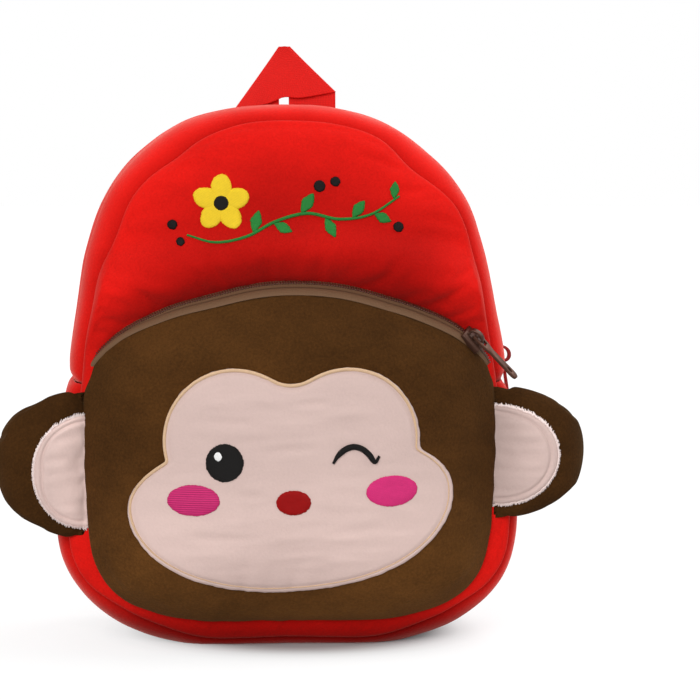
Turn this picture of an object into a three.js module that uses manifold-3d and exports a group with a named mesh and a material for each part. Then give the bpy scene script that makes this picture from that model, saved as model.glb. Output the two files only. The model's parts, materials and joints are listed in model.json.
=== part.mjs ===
// Child's plush backpack standing on its base, with an animal-head pocket on the front.
// Millimetres. X runs to the right seen from the front, Y from front to back, Z up.
// The base rests on Z = 0 and the front faces -Y.

import * as THREE from 'three';
import { mergeVertices } from 'three/addons/utils/BufferGeometryUtils.js';
import Module from 'manifold-3d';

const wasm = await Module();
wasm.setup();

// Cloth
const WALL = 2.4;
const SEAM_GAP = 0.2;
const WEBBING = 1.4;

// Body
const FRONT_SEAM_Y = -42;
const BACK_SEAM_Y = 42;
const BODY_DEPTH = BACK_SEAM_Y - FRONT_SEAM_Y;
const SIDE_INSET = 5.5;
const TOP_INSET = 3;
const BASE_INSET = 7;
const FRONT_DOME = 12;
const BACK_DOME = 6;
const PANEL_CENTRE = { x: 0, z: 120 };
const SIDE_SEAM_HEIGHT = 120;
const MITRE = { inward: 1.6, deep: 2.0 };
const UPPER_STEPS = 38;
const LOWER_STEPS = 30;

// Outline of the widest line of the body, from the middle of the base to the middle of the top.
const BODY_OUTLINE = [
  { height: -3, halfWidth: 0 },
  { height: -3, halfWidth: 46 },
  { height: 3, halfWidth: 71 },
  { height: 10, halfWidth: 84.5 },
  { height: 22, halfWidth: 95.5 },
  { height: 40, halfWidth: 103.5 },
  { height: 70, halfWidth: 105 },
  { height: 100, halfWidth: 103 },
  { height: 125, halfWidth: 100 },
  { height: 150, halfWidth: 96 },
  { height: 178, halfWidth: 91 },
  { height: 200, halfWidth: 82.5 },
  { height: 216.5, halfWidth: 69.5 },
  { height: 232.6, halfWidth: 47.5 },
  { height: 239.8, halfWidth: 24 },
  { height: 241.6, halfWidth: 0 },
];

// Soft dents in the gusset: height and reach in millimetres, place and spread as parts of its depth.
const GUSSET_FOLDS = [
  { side: 1, height: 175, reach: 45, place: 0.31, spread: 0.07, dent: 2.2 },
  { side: -1, height: 178, reach: 40, place: 0.3, spread: 0.07, dent: 2.0 },
  { side: 1, height: 119, reach: 7, place: 0.5, spread: 0.6, dent: 1.6 },
  { side: -1, height: 119, reach: 7, place: 0.5, spread: 0.6, dent: 1.6 },
  { side: 1, height: 62, reach: 22, place: 0.62, spread: 0.16, dent: 1.8 },
  { side: -1, height: 58, reach: 24, place: 0.45, spread: 0.14, dent: 1.8 },
];

// Main zip, across the gusset's depth
const ZIP_FRONT = 0.49;
const ZIP_BACK = 0.645;
const TAPE_TUCK = 0.03;
const TAPE = 1.0;
const COIL_WIDTH = 3.6;
const COIL_HEIGHT = 1.6;
const PIECE_GAP = 0.3;
const MAIN_SLIDER_HEIGHT = 128;

// Pocket
const POCKET_CENTRE = { x: 0, z: 86 };
const POCKET_FRONT_Y = -78;
const POCKET_WALL = 2.2;
const POCKET_RIM_STANDOFF = 2.95;
const POCKET_ZIP_STANDOFF = 7;
const POCKET_ZIP_BAND = 6.5;
const POCKET_ZIP_END = 126;
const POCKET_STEPS = 60;
const POCKET_SLIDER_HEIGHT = 139;
const POCKET_SLIDER_LIFT = 0.3;

// Outline of the pocket's seam and zip line, from the middle of its bottom to the middle of its top.
const POCKET_OUTLINE = [
  { height: 13, halfWidth: 0 },
  { height: 14, halfWidth: 47 },
  { height: 20, halfWidth: 69 },
  { height: 27, halfWidth: 79.5 },
  { height: 38, halfWidth: 86.5 },
  { height: 52, halfWidth: 89.5 },
  { height: 72, halfWidth: 91 },
  { height: 94, halfWidth: 92 },
  { height: 114, halfWidth: 91.5 },
  { height: 129, halfWidth: 88 },
  { height: 143, halfWidth: 76.5 },
  { height: 154, halfWidth: 57 },
  { height: 160, halfWidth: 41 },
  { height: 165, halfWidth: 21 },
  { height: 166.5, halfWidth: 0 },
];

// Face patch: the outline runs round these lobes, seen from the face's centre.
const FACE_CENTRE = { x: -1, z: 84 };
const FACE_LOBES = [
  { x: -26, z: 97, halfWidth: 31, above: 31.5, below: 31.5 },
  { x: 23.5, z: 97.5, halfWidth: 31, above: 32, below: 32 },
  { x: -1, z: 66, halfWidth: 72.5, above: 46, below: 36 },
  { x: -1, z: 100, halfWidth: 34, above: 22.4, below: 20 },
];
const FACE_BLEND = 40;
const FACE_GAP = 0.8;
const FACE_THICK = 1.5;
const STITCH_GAP = 0.35;
const STITCH_THICK = 0.7;

// Embroidered ovals on the face
const FACE_OVALS = [
  { name: 'eye_open', x: -30.5, z: 89.4, halfWidth: 8.1, halfHeight: 8.1, turn: 0, colour: 0x17120f },
  { name: 'cheek_left', x: -43.6, z: 72.7, halfWidth: 11.4, halfHeight: 6.8, turn: 0, colour: 0xc2346a },
  { name: 'cheek_right', x: 43, z: 76.1, halfWidth: 11.2, halfHeight: 6.6, turn: 0.1, colour: 0xc2346a },
  { name: 'nose', x: -0.3, z: 71.5, halfWidth: 7.5, halfHeight: 5.2, turn: 0, colour: 0xa3120f },
];

// Winking eye: the middle line of its stitched stroke.
const WINK_WIDTH = 1.8;
const WINK_LINE = [
  { x: 16.8, z: 88.8 },
  { x: 19.2, z: 92.6 },
  { x: 23.0, z: 95.4 },
  { x: 27.2, z: 96.0 },
  { x: 31.2, z: 94.4 },
  { x: 34.4, z: 91.6 },
  { x: 36.4, z: 89.4 },
];

// Ears: the cross-section runs out from the pocket's side and curls back.
const EAR_ROOT = { x: 92.9, y: -46.2 };
const EAR_LENGTH = 49.5;
const EAR_CENTRE = { along: 20, up: 0 };
const EAR_HALF_THICK = 5.5;
const EAR_EDGE = 0.9;
const EAR_FIRST_TURN = 8;
const EAR_CURL = 90;
const EAR_STEPS = 32;
const EARS = [
  { name: 'left', side: -1, height: 83, halfHeight: 31.5, patchEnd: 26, patchHalf: 25, patchUp: -0.6 },
  { name: 'right', side: 1, height: 88, halfHeight: 28.5, patchEnd: 28, patchHalf: 22.5, patchUp: -0.5 },
];
const PATCH_START = 2;
const PATCH_CENTRE = 11;

// Straps, in the plane of each strap: down from the buckle's upper bar and out from the back.
const STRAP_WIDTH = 25;
const STRAP_TILT = 10;
const BUCKLE = { x: 18, y: 52, z: 227 };
const BUCKLE_BAR = 3.4;
const BUCKLE_THICK = 2.6;
const BUCKLE_PITCH = 8.5;
const BUCKLE_RAIL = 3.2;
const STRAP_TAIL_POINTS = 6;
const STRAP_TAIL_LIFT = 2.3;

// Strap turned round the middle bar of its buckle
const STRAP_TURN = [
  { down: 20.5, out: -2.3 },
  { down: 17.2, out: -2.5 },
  { down: 15.6, out: -2.45 },
  { down: 14.0, out: -1.6 },
  { down: 12.75, out: 0 },
  { down: 11.5, out: 1.6 },
  { down: 10.1, out: 2.4 },
  { down: 8.2, out: 2.7 },
  { down: 6.4, out: 2.3 },
  { down: 5.6, out: 1.0 },
  { down: 5.6, out: -0.7 },
  { down: 6.1, out: -2.1 },
  { down: 8.2, out: -2.9 },
  { down: 12.5, out: -3.9 },
];

// Strap below its buckle: height above the floor and distance behind the body's middle.
const STRAP_RUN = [
  { height: 210, back: 47.6 },
  { height: 203, back: 48.4 },
  { height: 190, back: 56.5 },
  { height: 165, back: 81.5 },
  { height: 136, back: 104 },
  { height: 105, back: 117 },
  { height: 78, back: 121 },
  { height: 50, back: 116 },
  { height: 25, back: 102 },
  { height: 10, back: 87 },
  { height: 3.6, back: 75 },
  { height: 2.6, back: 62 },
  { height: 2.6, back: 50 },
  { height: 3.2, back: 43.6 },
];
const STRAP_RUN_STEPS = 34;

// Tab folded round the upper bar, from one sewn end to the other
const STRAP_TAB = [
  { down: -7.6, out: -6.2, tilt: -9 },
  { down: -5.6, out: -2.4, tilt: 2 },
  { down: -3.6, out: 1.5, tilt: 9 },
  { down: -1.8, out: 2.4, tilt: 10 },
  { down: 1.5, out: 2.6, tilt: 10 },
  { down: 3.0, out: 1.4, tilt: 10 },
  { down: 3.0, out: -0.6, tilt: 10 },
  { down: 2.2, out: -2.2, tilt: 10 },
  { down: -0.4, out: -3.2, tilt: 10 },
  { down: -3.6, out: -5.6, tilt: 2 },
  { down: -6.6, out: -8.0, tilt: -9 },
];

// Hanging loop
const LOOP = { halfWidth: 23.5, slit: 2.6, shoulder: 247, apex: 271, apexFlat: 2, front: 42.5, lean: 0.06 };

// Zip slider and pull, in the slider's own frame: across the zip, along it, and off the tape
const SLIDER = { halfWidth: 4.4, halfLength: 5.2, flange: 1.2, plate: 1.2 };
const BRIDGE = { halfWidth: 1.2, long: 4.0, high: 2.7, innerLong: 2.7, innerHigh: 1.5 };
const PULL = { length: 22, thick: 1.3, eyeWidth: 3.2, tipWidth: 3.8, bar: 0.8, eye: 4.8, eyeHalf: 1.9 };

const COLOURS = {
  red: 0xc3201a,
  webbing: 0xd81f17,
  redZip: 0x9c1712,
  brown: 0x4f3319,
  brownZip: 0x5d4230,
  darkCoil: 0x2f2118,
  pink: 0xe0c2b8,
  metal: 0x8d6a52,
  plastic: 0xd0241c,
};

const vec = (x, y, z) => new THREE.Vector3(x, y, z);
const radians = THREE.MathUtils.degToRad;
const smoothstep = THREE.MathUtils.smoothstep;

// Closed curve in the XZ plane through a table of half widths and its mirror image.
function closedCurve(rows) {
  const right = rows.map((row) => vec(row.halfWidth, 0, row.height));
  const left = rows.slice(1, -1).map((row) => vec(-row.halfWidth, 0, row.height));
  const curve = new THREE.CatmullRomCurve3([...right, ...left.reverse()], true, 'centripetal');
  curve.arcLengthDivisions = 800;
  return curve;
}

// Place along the right half of a closed curve where it reaches a height.
function placeAtHeight(curve, height) {
  let low = 0.05;
  let high = 0.5;
  for (let step = 0; step < 40; step += 1) {
    const middle = (low + high) / 2;
    if (curve.getPointAt(middle).z < height) {
      low = middle;
    } else {
      high = middle;
    }
  }
  return (low + high) / 2;
}

// Outward direction of a closed curve in its own plane.
function outwardAt(curve, place) {
  const tangent = curve.getTangentAt(place);
  return vec(tangent.z, 0, -tangent.x).normalize();
}

function evenSteps(from, to, count) {
  return Array.from({ length: count + 1 }, (_, step) => from + ((to - from) * step) / count);
}

// Lookup of an outline by angle round a centre: radius and any other named values.
function polarLookup(points, centre, extra = []) {
  const rows = points.map((point, index) => {
    const x = point.x - centre.x;
    const z = point.z - centre.z;
    return { angle: Math.atan2(z, x), radius: Math.hypot(x, z), extra: extra[index] ?? 0 };
  });
  rows.sort((first, second) => first.angle - second.angle);
  const count = rows.length;
  return (x, z) => {
    const angle = Math.atan2(z - centre.z, x - centre.x);
    let next = rows.findIndex((row) => row.angle > angle);
    if (next < 0) {
      next = 0;
    }
    const before = rows[(next + count - 1) % count];
    const after = rows[next];
    const turn = 2 * Math.PI;
    const span = (after.angle - before.angle + turn) % turn;
    const mix = ((angle - before.angle + turn) % turn) / span;
    return {
      part: Math.hypot(x - centre.x, z - centre.z) / THREE.MathUtils.lerp(before.radius, after.radius, mix),
      extra: THREE.MathUtils.lerp(before.extra, after.extra, mix),
    };
  };
}

// Closed solid from points and triangles, its faces turned outward.
function solid(points, triangles) {
  let volume = 0;
  for (const [a, b, c] of triangles) {
    volume += points[a].dot(points[b].clone().cross(points[c]));
  }
  const turned = volume < 0 ? triangles.map(([a, b, c]) => [a, c, b]) : triangles;
  const geometry = new THREE.BufferGeometry();
  const positions = points.flatMap((point) => [point.x, point.y, point.z]);
  geometry.setAttribute('position', new THREE.Float32BufferAttribute(positions, 3));
  geometry.setIndex(turned.flat());
  return geometry;
}

function quad(list, a, b, c, d) {
  list.push([a, b, c], [a, c, d]);
}

// Wall between an outer and an inner grid of points with the same rows and columns.
function gridWall(outer, inner) {
  const rows = outer.length;
  const columns = outer[0].length;
  const points = [...outer.flat(), ...inner.flat()];
  const half = rows * columns;
  const at = (row, column) => row * columns + column;
  const triangles = [];
  for (let row = 0; row + 1 < rows; row += 1) {
    for (let column = 0; column + 1 < columns; column += 1) {
      const a = at(row, column);
      const b = at(row, column + 1);
      const c = at(row + 1, column + 1);
      const d = at(row + 1, column);
      quad(triangles, a, b, c, d);
      quad(triangles, half + a, half + d, half + c, half + b);
    }
  }
  const border = [];
  for (let column = 0; column + 1 < columns; column += 1) {
    border.push(at(0, column));
  }
  for (let row = 0; row + 1 < rows; row += 1) {
    border.push(at(row, columns - 1));
  }
  for (let column = columns - 1; column > 0; column -= 1) {
    border.push(at(rows - 1, column));
  }
  for (let row = rows - 1; row > 0; row -= 1) {
    border.push(at(row, 0));
  }
  border.forEach((from, index) => {
    const to = border[(index + 1) % border.length];
    quad(triangles, to, from, half + from, half + to);
  });
  return solid(points, triangles);
}

// Wall made of rings round a centre point; each layer is [centre, ring, ring, ...].
function ringWall(outer, inner) {
  const around = outer[1].length;
  const points = [outer[0], ...outer.slice(1).flat(), inner[0], ...inner.slice(1).flat()];
  const half = points.length / 2;
  const at = (ring, step) => 1 + (ring - 1) * around + (step % around);
  const triangles = [];
  for (let step = 0; step < around; step += 1) {
    triangles.push([0, at(1, step), at(1, step + 1)]);
    triangles.push([half, half + at(1, step + 1), half + at(1, step)]);
    for (let ring = 1; ring + 1 < outer.length; ring += 1) {
      const a = at(ring, step);
      const b = at(ring + 1, step);
      const c = at(ring + 1, step + 1);
      const d = at(ring, step + 1);
      quad(triangles, a, b, c, d);
      quad(triangles, half + a, half + d, half + c, half + b);
    }
    const from = at(outer.length - 1, step);
    const to = at(outer.length - 1, step + 1);
    quad(triangles, to, from, half + from, half + to);
  }
  return solid(points, triangles);
}

// Solid through a row of closed cross-sections with convex ends.
function loft(sections) {
  const sides = sections[0].length;
  const points = sections.flat();
  const triangles = [];
  for (let row = 0; row + 1 < sections.length; row += 1) {
    for (let side = 0; side < sides; side += 1) {
      const next = (side + 1) % sides;
      const a = row * sides;
      quad(triangles, a + side, a + next, a + sides + next, a + sides + side);
    }
  }
  const last = (sections.length - 1) * sides;
  for (let side = 1; side + 1 < sides; side += 1) {
    triangles.push([0, side + 1, side]);
    triangles.push([last, last + side, last + side + 1]);
  }
  return solid(points, triangles);
}

// Joined body of several closed geometries.
function joined(geometries) {
  const bodies = geometries.map((geometry) => {
    const bare = geometry.clone();
    bare.deleteAttribute('normal');
    bare.deleteAttribute('uv');
    const merged = mergeVertices(bare, 1e-4);
    const mesh = new wasm.Mesh({
      numProp: 3,
      vertProperties: merged.getAttribute('position').array,
      triVerts: Uint32Array.from(merged.getIndex().array),
    });
    return new wasm.Manifold(mesh);
  });
  const mesh = bodies.reduce((first, second) => first.add(second)).getMesh();
  const geometry = new THREE.BufferGeometry();
  geometry.setAttribute('position', new THREE.Float32BufferAttribute(mesh.vertProperties, 3));
  geometry.setIndex(Array.from(mesh.triVerts));
  return geometry;
}

const part = new THREE.Group();
part.name = 'plush_school_bag';

function addPiece(name, geometry, colour, roughness, metalness = 0) {
  const material = new THREE.MeshStandardMaterial({ color: colour, roughness, metalness });
  const mesh = new THREE.Mesh(geometry, material);
  mesh.name = name;
  part.add(mesh);
}

// Body walls

const bodyCurve = closedCurve(BODY_OUTLINE);
const sidePlace = placeAtHeight(bodyCurve, SIDE_SEAM_HEIGHT);
const bodyLength = bodyCurve.getLength();
const seamStep = SEAM_GAP / bodyLength;
const upperPlaces = evenSteps(sidePlace + seamStep, 1 - sidePlace - seamStep, UPPER_STEPS);
const lowerPlaces = evenSteps(-sidePlace + seamStep, sidePlace - seamStep, LOWER_STEPS);
const wrapPlace = (place) => ((place % 1) + 1) % 1;

function foldDepth(ridge, depth) {
  return GUSSET_FOLDS.reduce((sum, fold) => {
    if (Math.sign(ridge.x) !== fold.side) {
      return sum;
    }
    const along = (ridge.z - fold.height) / fold.reach;
    const across = (depth - fold.place) / fold.spread;
    return sum + fold.dent * Math.exp(-along * along - across * across);
  }, 0);
}

// How far the gusset lies inside the body's widest line; the seams pull it in.
function gussetInset(ridge, depth) {
  const low = THREE.MathUtils.lerp(BASE_INSET, SIDE_INSET, smoothstep(ridge.z, 0, 60));
  const inset = THREE.MathUtils.lerp(low, TOP_INSET, smoothstep(ridge.z, 175, 240));
  const across = Math.abs(2 * depth - 1);
  return inset * across ** 3 + foldDepth(ridge, depth) * (1 - across ** 6);
}

// Outer and inner point of the gusset wall; depth runs from 0 at the front seam to 1 at the back seam.
function gussetWall(rawPlace, depth) {
  const place = wrapPlace(rawPlace);
  const ridge = bodyCurve.getPointAt(place);
  const outward = outwardAt(bodyCurve, place);
  const inset = gussetInset(ridge, depth);
  const y = FRONT_SEAM_Y + BODY_DEPTH * depth;
  const outer = vec(ridge.x, y, ridge.z).addScaledVector(outward, -inset);
  const inner = outer.clone();
  if (depth === 0 || depth === 1) {
    const inside = depth === 0 ? 1 : -1;
    inner.addScaledVector(outward, -MITRE.inward);
    inner.y += inside * MITRE.deep;
    for (const point of [outer, inner]) {
      point.addScaledVector(outward, SEAM_GAP * 0.78);
      point.y += inside * SEAM_GAP * 0.63;
    }
  } else {
    const step = 0.01;
    const change = gussetInset(ridge, depth + step) - gussetInset(ridge, depth - step);
    const slope = change / (2 * step * BODY_DEPTH);
    const length = Math.hypot(1, slope);
    inner.addScaledVector(outward, -WALL / length);
    inner.y -= (WALL * slope) / length;
  }
  outer.z = Math.max(outer.z, 0);
  inner.z = Math.max(inner.z, WALL);
  return { outer, inner, outward };
}

function gussetPiece(places, depths) {
  const walls = places.map((place) => depths.map((depth) => gussetWall(place, depth)));
  const outer = walls.map((row) => row.map((wall) => wall.outer));
  const inner = walls.map((row) => row.map((wall) => wall.inner));
  return gridWall(outer, inner);
}

const FRONT_STRIP_DEPTHS = [0, 0.06, 0.16, 0.27, 0.38, ZIP_FRONT];
const BACK_STRIP_DEPTHS = [ZIP_BACK, 0.75, 0.86, 0.95, 1];
const LOWER_DEPTHS = [0, 0.05, 0.13, 0.3, 0.5, 0.7, 0.87, 0.95, 1];

// Seam outline of a panel, and the panel's depth anywhere inside it
const panelPlaces = [...lowerPlaces, ...upperPlaces];

function seamOutline(depth) {
  return panelPlaces.map((rawPlace) => {
    const place = wrapPlace(rawPlace);
    const ridge = bodyCurve.getPointAt(place);
    const outward = outwardAt(bodyCurve, place);
    const point = ridge.clone().addScaledVector(outward, -gussetInset(ridge, depth));
    return { point, outward };
  });
}

const frontSeam = seamOutline(0);
const backSeam = seamOutline(1);
const frontPart = polarLookup(frontSeam.map((entry) => entry.point), PANEL_CENTRE);
const backPart = polarLookup(backSeam.map((entry) => entry.point), PANEL_CENTRE);

function frontY(x, z) {
  return FRONT_SEAM_Y - FRONT_DOME * (1 - Math.min(frontPart(x, z).part, 1) ** 3);
}

function backY(x, z) {
  return BACK_SEAM_Y + BACK_DOME * (1 - Math.min(backPart(x, z).part, 1) ** 3);
}

// Domed panel sewn to the gusset along a seam; side is -1 for the front and 1 for the back.
function bodyPanel(seam, seamY, side, dome, ringParts) {
  const outer = [vec(PANEL_CENTRE.x, seamY + side * dome, PANEL_CENTRE.z)];
  const inner = [vec(PANEL_CENTRE.x, seamY + side * (dome - WALL), PANEL_CENTRE.z)];
  for (const ringPart of ringParts) {
    const outerRing = [];
    const innerRing = [];
    for (const { point, outward } of seam) {
      const rise = dome * (1 - ringPart ** 3);
      const rim = point.clone().addScaledVector(outward, -SEAM_GAP * 0.78);
      const innerRim = rim.clone().addScaledVector(outward, -MITRE.inward);
      const blend = ringPart ** 4;
      const gap = SEAM_GAP * 0.63 * blend;
      const wall = THREE.MathUtils.lerp(WALL, MITRE.deep, blend);
      const toPlace = (edge, y) => {
        const x = THREE.MathUtils.lerp(PANEL_CENTRE.x, edge.x, ringPart);
        const z = THREE.MathUtils.lerp(PANEL_CENTRE.z, edge.z, ringPart);
        return vec(x, y, z);
      };
      outerRing.push(toPlace(rim, seamY + side * (rise + gap)));
      innerRing.push(toPlace(innerRim, seamY + side * (rise + gap - wall)));
    }
    outer.push(outerRing);
    inner.push(innerRing);
  }
  return ringWall(outer, inner);
}

const FRONT_RINGS = [0.3, 0.55, 0.75, 0.9, 1];
const BACK_RINGS = [0.4, 0.7, 0.9, 1];
const frontPanel = bodyPanel(frontSeam, FRONT_SEAM_Y, -1, FRONT_DOME, FRONT_RINGS);
const backPanel = bodyPanel(backSeam, BACK_SEAM_Y, 1, BACK_DOME, BACK_RINGS);
addPiece('front_panel', frontPanel, COLOURS.red, 0.95);
addPiece('back_panel', backPanel, COLOURS.red, 0.95);
addPiece('gusset_front_strip', gussetPiece(upperPlaces, FRONT_STRIP_DEPTHS), COLOURS.red, 0.95);
addPiece('gusset_back_strip', gussetPiece(upperPlaces, BACK_STRIP_DEPTHS), COLOURS.red, 0.95);
addPiece('gusset_lower', gussetPiece(lowerPlaces, LOWER_DEPTHS), COLOURS.red, 0.95);

// Main zip: the tape lies under the edges of the two strips, and the coil on the tape.

const TAPE_TOP = WALL + 0.4;

function zipRail(place, depth, below) {
  const { outer, outward } = gussetWall(place, depth);
  return outer.addScaledVector(outward, -below);
}

const zipMiddle = (ZIP_FRONT + ZIP_BACK) / 2;
const coilHalf = COIL_WIDTH / 2 / BODY_DEPTH;
const coilFoot = TAPE_TOP - PIECE_GAP;
const zipPlaces = evenSteps(sidePlace + 2 * seamStep, 1 - sidePlace - 2 * seamStep, UPPER_STEPS);

const mainTape = zipPlaces.map((place) => [
  zipRail(place, ZIP_FRONT - TAPE_TUCK, TAPE_TOP),
  zipRail(place, ZIP_BACK + TAPE_TUCK, TAPE_TOP),
  zipRail(place, ZIP_BACK + TAPE_TUCK, TAPE_TOP + TAPE),
  zipRail(place, ZIP_FRONT - TAPE_TUCK, TAPE_TOP + TAPE),
]);
const mainCoil = zipPlaces.map((place) => [
  zipRail(place, zipMiddle - coilHalf, coilFoot),
  zipRail(place, zipMiddle - coilHalf * 0.55, coilFoot - COIL_HEIGHT),
  zipRail(place, zipMiddle + coilHalf * 0.55, coilFoot - COIL_HEIGHT),
  zipRail(place, zipMiddle + coilHalf, coilFoot),
]);
addPiece('main_zip_tape', loft(mainTape), COLOURS.redZip, 0.8);
addPiece('main_zip_coil', loft(mainCoil), COLOURS.redZip, 0.55);

// Pocket

const pocketCurve = closedCurve(POCKET_OUTLINE);
const pocketPlaces = evenSteps(0, 1, POCKET_STEPS).slice(0, -1);

function pocketRim(rawPlace) {
  const place = wrapPlace(rawPlace);
  const line = pocketCurve.getPointAt(place);
  const outward = outwardAt(pocketCurve, place);
  const open = smoothstep(line.z, 118, 140);
  const rim = line.clone().addScaledVector(outward, -POCKET_ZIP_BAND * open);
  const rimY = frontY(rim.x, rim.z) - POCKET_RIM_STANDOFF - POCKET_ZIP_STANDOFF * open;
  return { line, outward, rim, rimY };
}

const pocketRims = pocketPlaces.map(pocketRim);
const fineRims = evenSteps(0, 1, 360).slice(0, -1).map(pocketRim);
const pocketLookup = polarLookup(
  fineRims.map((entry) => entry.rim),
  POCKET_CENTRE,
  fineRims.map((entry) => entry.rimY),
);

function pocketRise(ringPart) {
  return Math.max(1 - ringPart ** 2.6, 0) ** 0.8;
}

function pocketY(x, z) {
  const { part: ringPart, extra: rimY } = pocketLookup(x, z);
  return THREE.MathUtils.lerp(rimY, POCKET_FRONT_Y, pocketRise(ringPart));
}

function pocketWall() {
  const outer = [vec(POCKET_CENTRE.x, POCKET_FRONT_Y, POCKET_CENTRE.z)];
  const inner = [vec(POCKET_CENTRE.x, POCKET_FRONT_Y + POCKET_WALL, POCKET_CENTRE.z)];
  for (const ringPart of [0.3, 0.55, 0.75, 0.88, 0.96, 1]) {
    const outerRing = [];
    const innerRing = [];
    for (const { outward, rim, rimY } of pocketRims) {
      const innerRim = rim.clone().addScaledVector(outward, -1.2);
      const y = THREE.MathUtils.lerp(rimY, POCKET_FRONT_Y, pocketRise(ringPart));
      const toPlace = (edge, depth) => {
        const x = THREE.MathUtils.lerp(POCKET_CENTRE.x, edge.x, ringPart);
        const z = THREE.MathUtils.lerp(POCKET_CENTRE.z, edge.z, ringPart);
        return vec(x, depth, z);
      };
      outerRing.push(toPlace(rim, y));
      innerRing.push(toPlace(innerRim, y + POCKET_WALL));
    }
    outer.push(outerRing);
    inner.push(innerRing);
  }
  return ringWall(outer, inner);
}

addPiece('pocket_panel', pocketWall(), COLOURS.brown, 0.95);

// Pocket zip: a band from the front panel out to the pocket's upper edge, with its coil.

const pocketZipEnd = placeAtHeight(pocketCurve, POCKET_ZIP_END);
const pocketZipPlaces = evenSteps(pocketZipEnd, 1 - pocketZipEnd, 36);

function pocketZipSection(place) {
  const { line, outward, rim, rimY } = pocketRim(place);
  const outerEdge = line.clone().addScaledVector(outward, 1);
  outerEdge.y = frontY(outerEdge.x, outerEdge.z) - PIECE_GAP - 0.2 - TAPE;
  const innerEdge = rim.clone().addScaledVector(outward, 0.5);
  innerEdge.y = rimY + 0.8;
  const across = innerEdge.clone().sub(outerEdge).normalize();
  const along = pocketCurve.getTangentAt(wrapPlace(place)).normalize();
  const normal = across.clone().cross(along).normalize();
  if (normal.y > 0) {
    normal.negate();
  }
  return { outerEdge, innerEdge, across, along, normal };
}

const pocketTape = pocketZipPlaces.map((place) => {
  const { outerEdge, innerEdge } = pocketZipSection(place);
  const down = vec(0, TAPE, 0);
  return [outerEdge, innerEdge, innerEdge.clone().add(down), outerEdge.clone().add(down)];
});

function pocketCoilCentre(section) {
  const width = section.outerEdge.distanceTo(section.innerEdge);
  return section.outerEdge.clone().addScaledVector(section.across, width * 0.36);
}

const pocketCoil = pocketZipPlaces.map((place) => {
  const section = pocketZipSection(place);
  const centre = pocketCoilCentre(section);
  const width = Math.min(COIL_WIDTH, section.outerEdge.distanceTo(section.innerEdge) * 0.8);
  return [
    [-0.5, 0],
    [-0.28, COIL_HEIGHT],
    [0.28, COIL_HEIGHT],
    [0.5, 0],
  ].map(([across, up]) =>
    centre
      .clone()
      .addScaledVector(section.across, across * width)
      .addScaledVector(section.normal, up + PIECE_GAP),
  );
});
addPiece('pocket_zip_tape', loft(pocketTape), COLOURS.brownZip, 0.8);
addPiece('pocket_zip_coil', loft(pocketCoil), COLOURS.darkCoil, 0.5);

// Sliders and pulls

const PLATE_UNDER = 2 * PIECE_GAP + COIL_HEIGHT;
const PLATE_TOP = PLATE_UNDER + SLIDER.plate;
const PIVOT_UP = PLATE_TOP + 1.35;

function sliderBody() {
  const { halfWidth, halfLength, flange } = SLIDER;
  const section = new THREE.Shape();
  section.moveTo(-halfWidth, PIECE_GAP);
  section.lineTo(-halfWidth + flange, PIECE_GAP);
  section.lineTo(-halfWidth + flange, PLATE_UNDER);
  section.lineTo(halfWidth - flange, PLATE_UNDER);
  section.lineTo(halfWidth - flange, PIECE_GAP);
  section.lineTo(halfWidth, PIECE_GAP);
  section.lineTo(halfWidth, PLATE_TOP - 0.5);
  section.lineTo(halfWidth - 0.7, PLATE_TOP);
  section.lineTo(-halfWidth + 0.7, PLATE_TOP);
  section.lineTo(-halfWidth, PLATE_TOP - 0.5);
  section.closePath();
  const saddle = new THREE.ExtrudeGeometry(section, { depth: 2 * halfLength, bevelEnabled: false });
  saddle.translate(0, 0, -halfLength);
  saddle.rotateX(Math.PI / 2);

  const arch = new THREE.Shape();
  const foot = PLATE_TOP - 0.2;
  arch.moveTo(BRIDGE.long, foot);
  for (const angle of evenSteps(0, Math.PI, 10)) {
    arch.lineTo(BRIDGE.long * Math.cos(angle), PIVOT_UP + BRIDGE.high * Math.sin(angle));
  }
  arch.lineTo(-BRIDGE.long, foot);
  arch.lineTo(-BRIDGE.innerLong, foot);
  for (const angle of evenSteps(Math.PI, 0, 10)) {
    arch.lineTo(BRIDGE.innerLong * Math.cos(angle), PIVOT_UP + BRIDGE.innerHigh * Math.sin(angle));
  }
  arch.lineTo(BRIDGE.innerLong, foot);
  arch.closePath();
  const bridge = new THREE.ExtrudeGeometry(arch, { depth: 2 * BRIDGE.halfWidth, bevelEnabled: false });
  bridge.translate(0, 0, -BRIDGE.halfWidth);
  bridge.rotateY(Math.PI / 2);
  bridge.rotateX(Math.PI / 2);
  return joined([saddle, bridge]);
}

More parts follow.
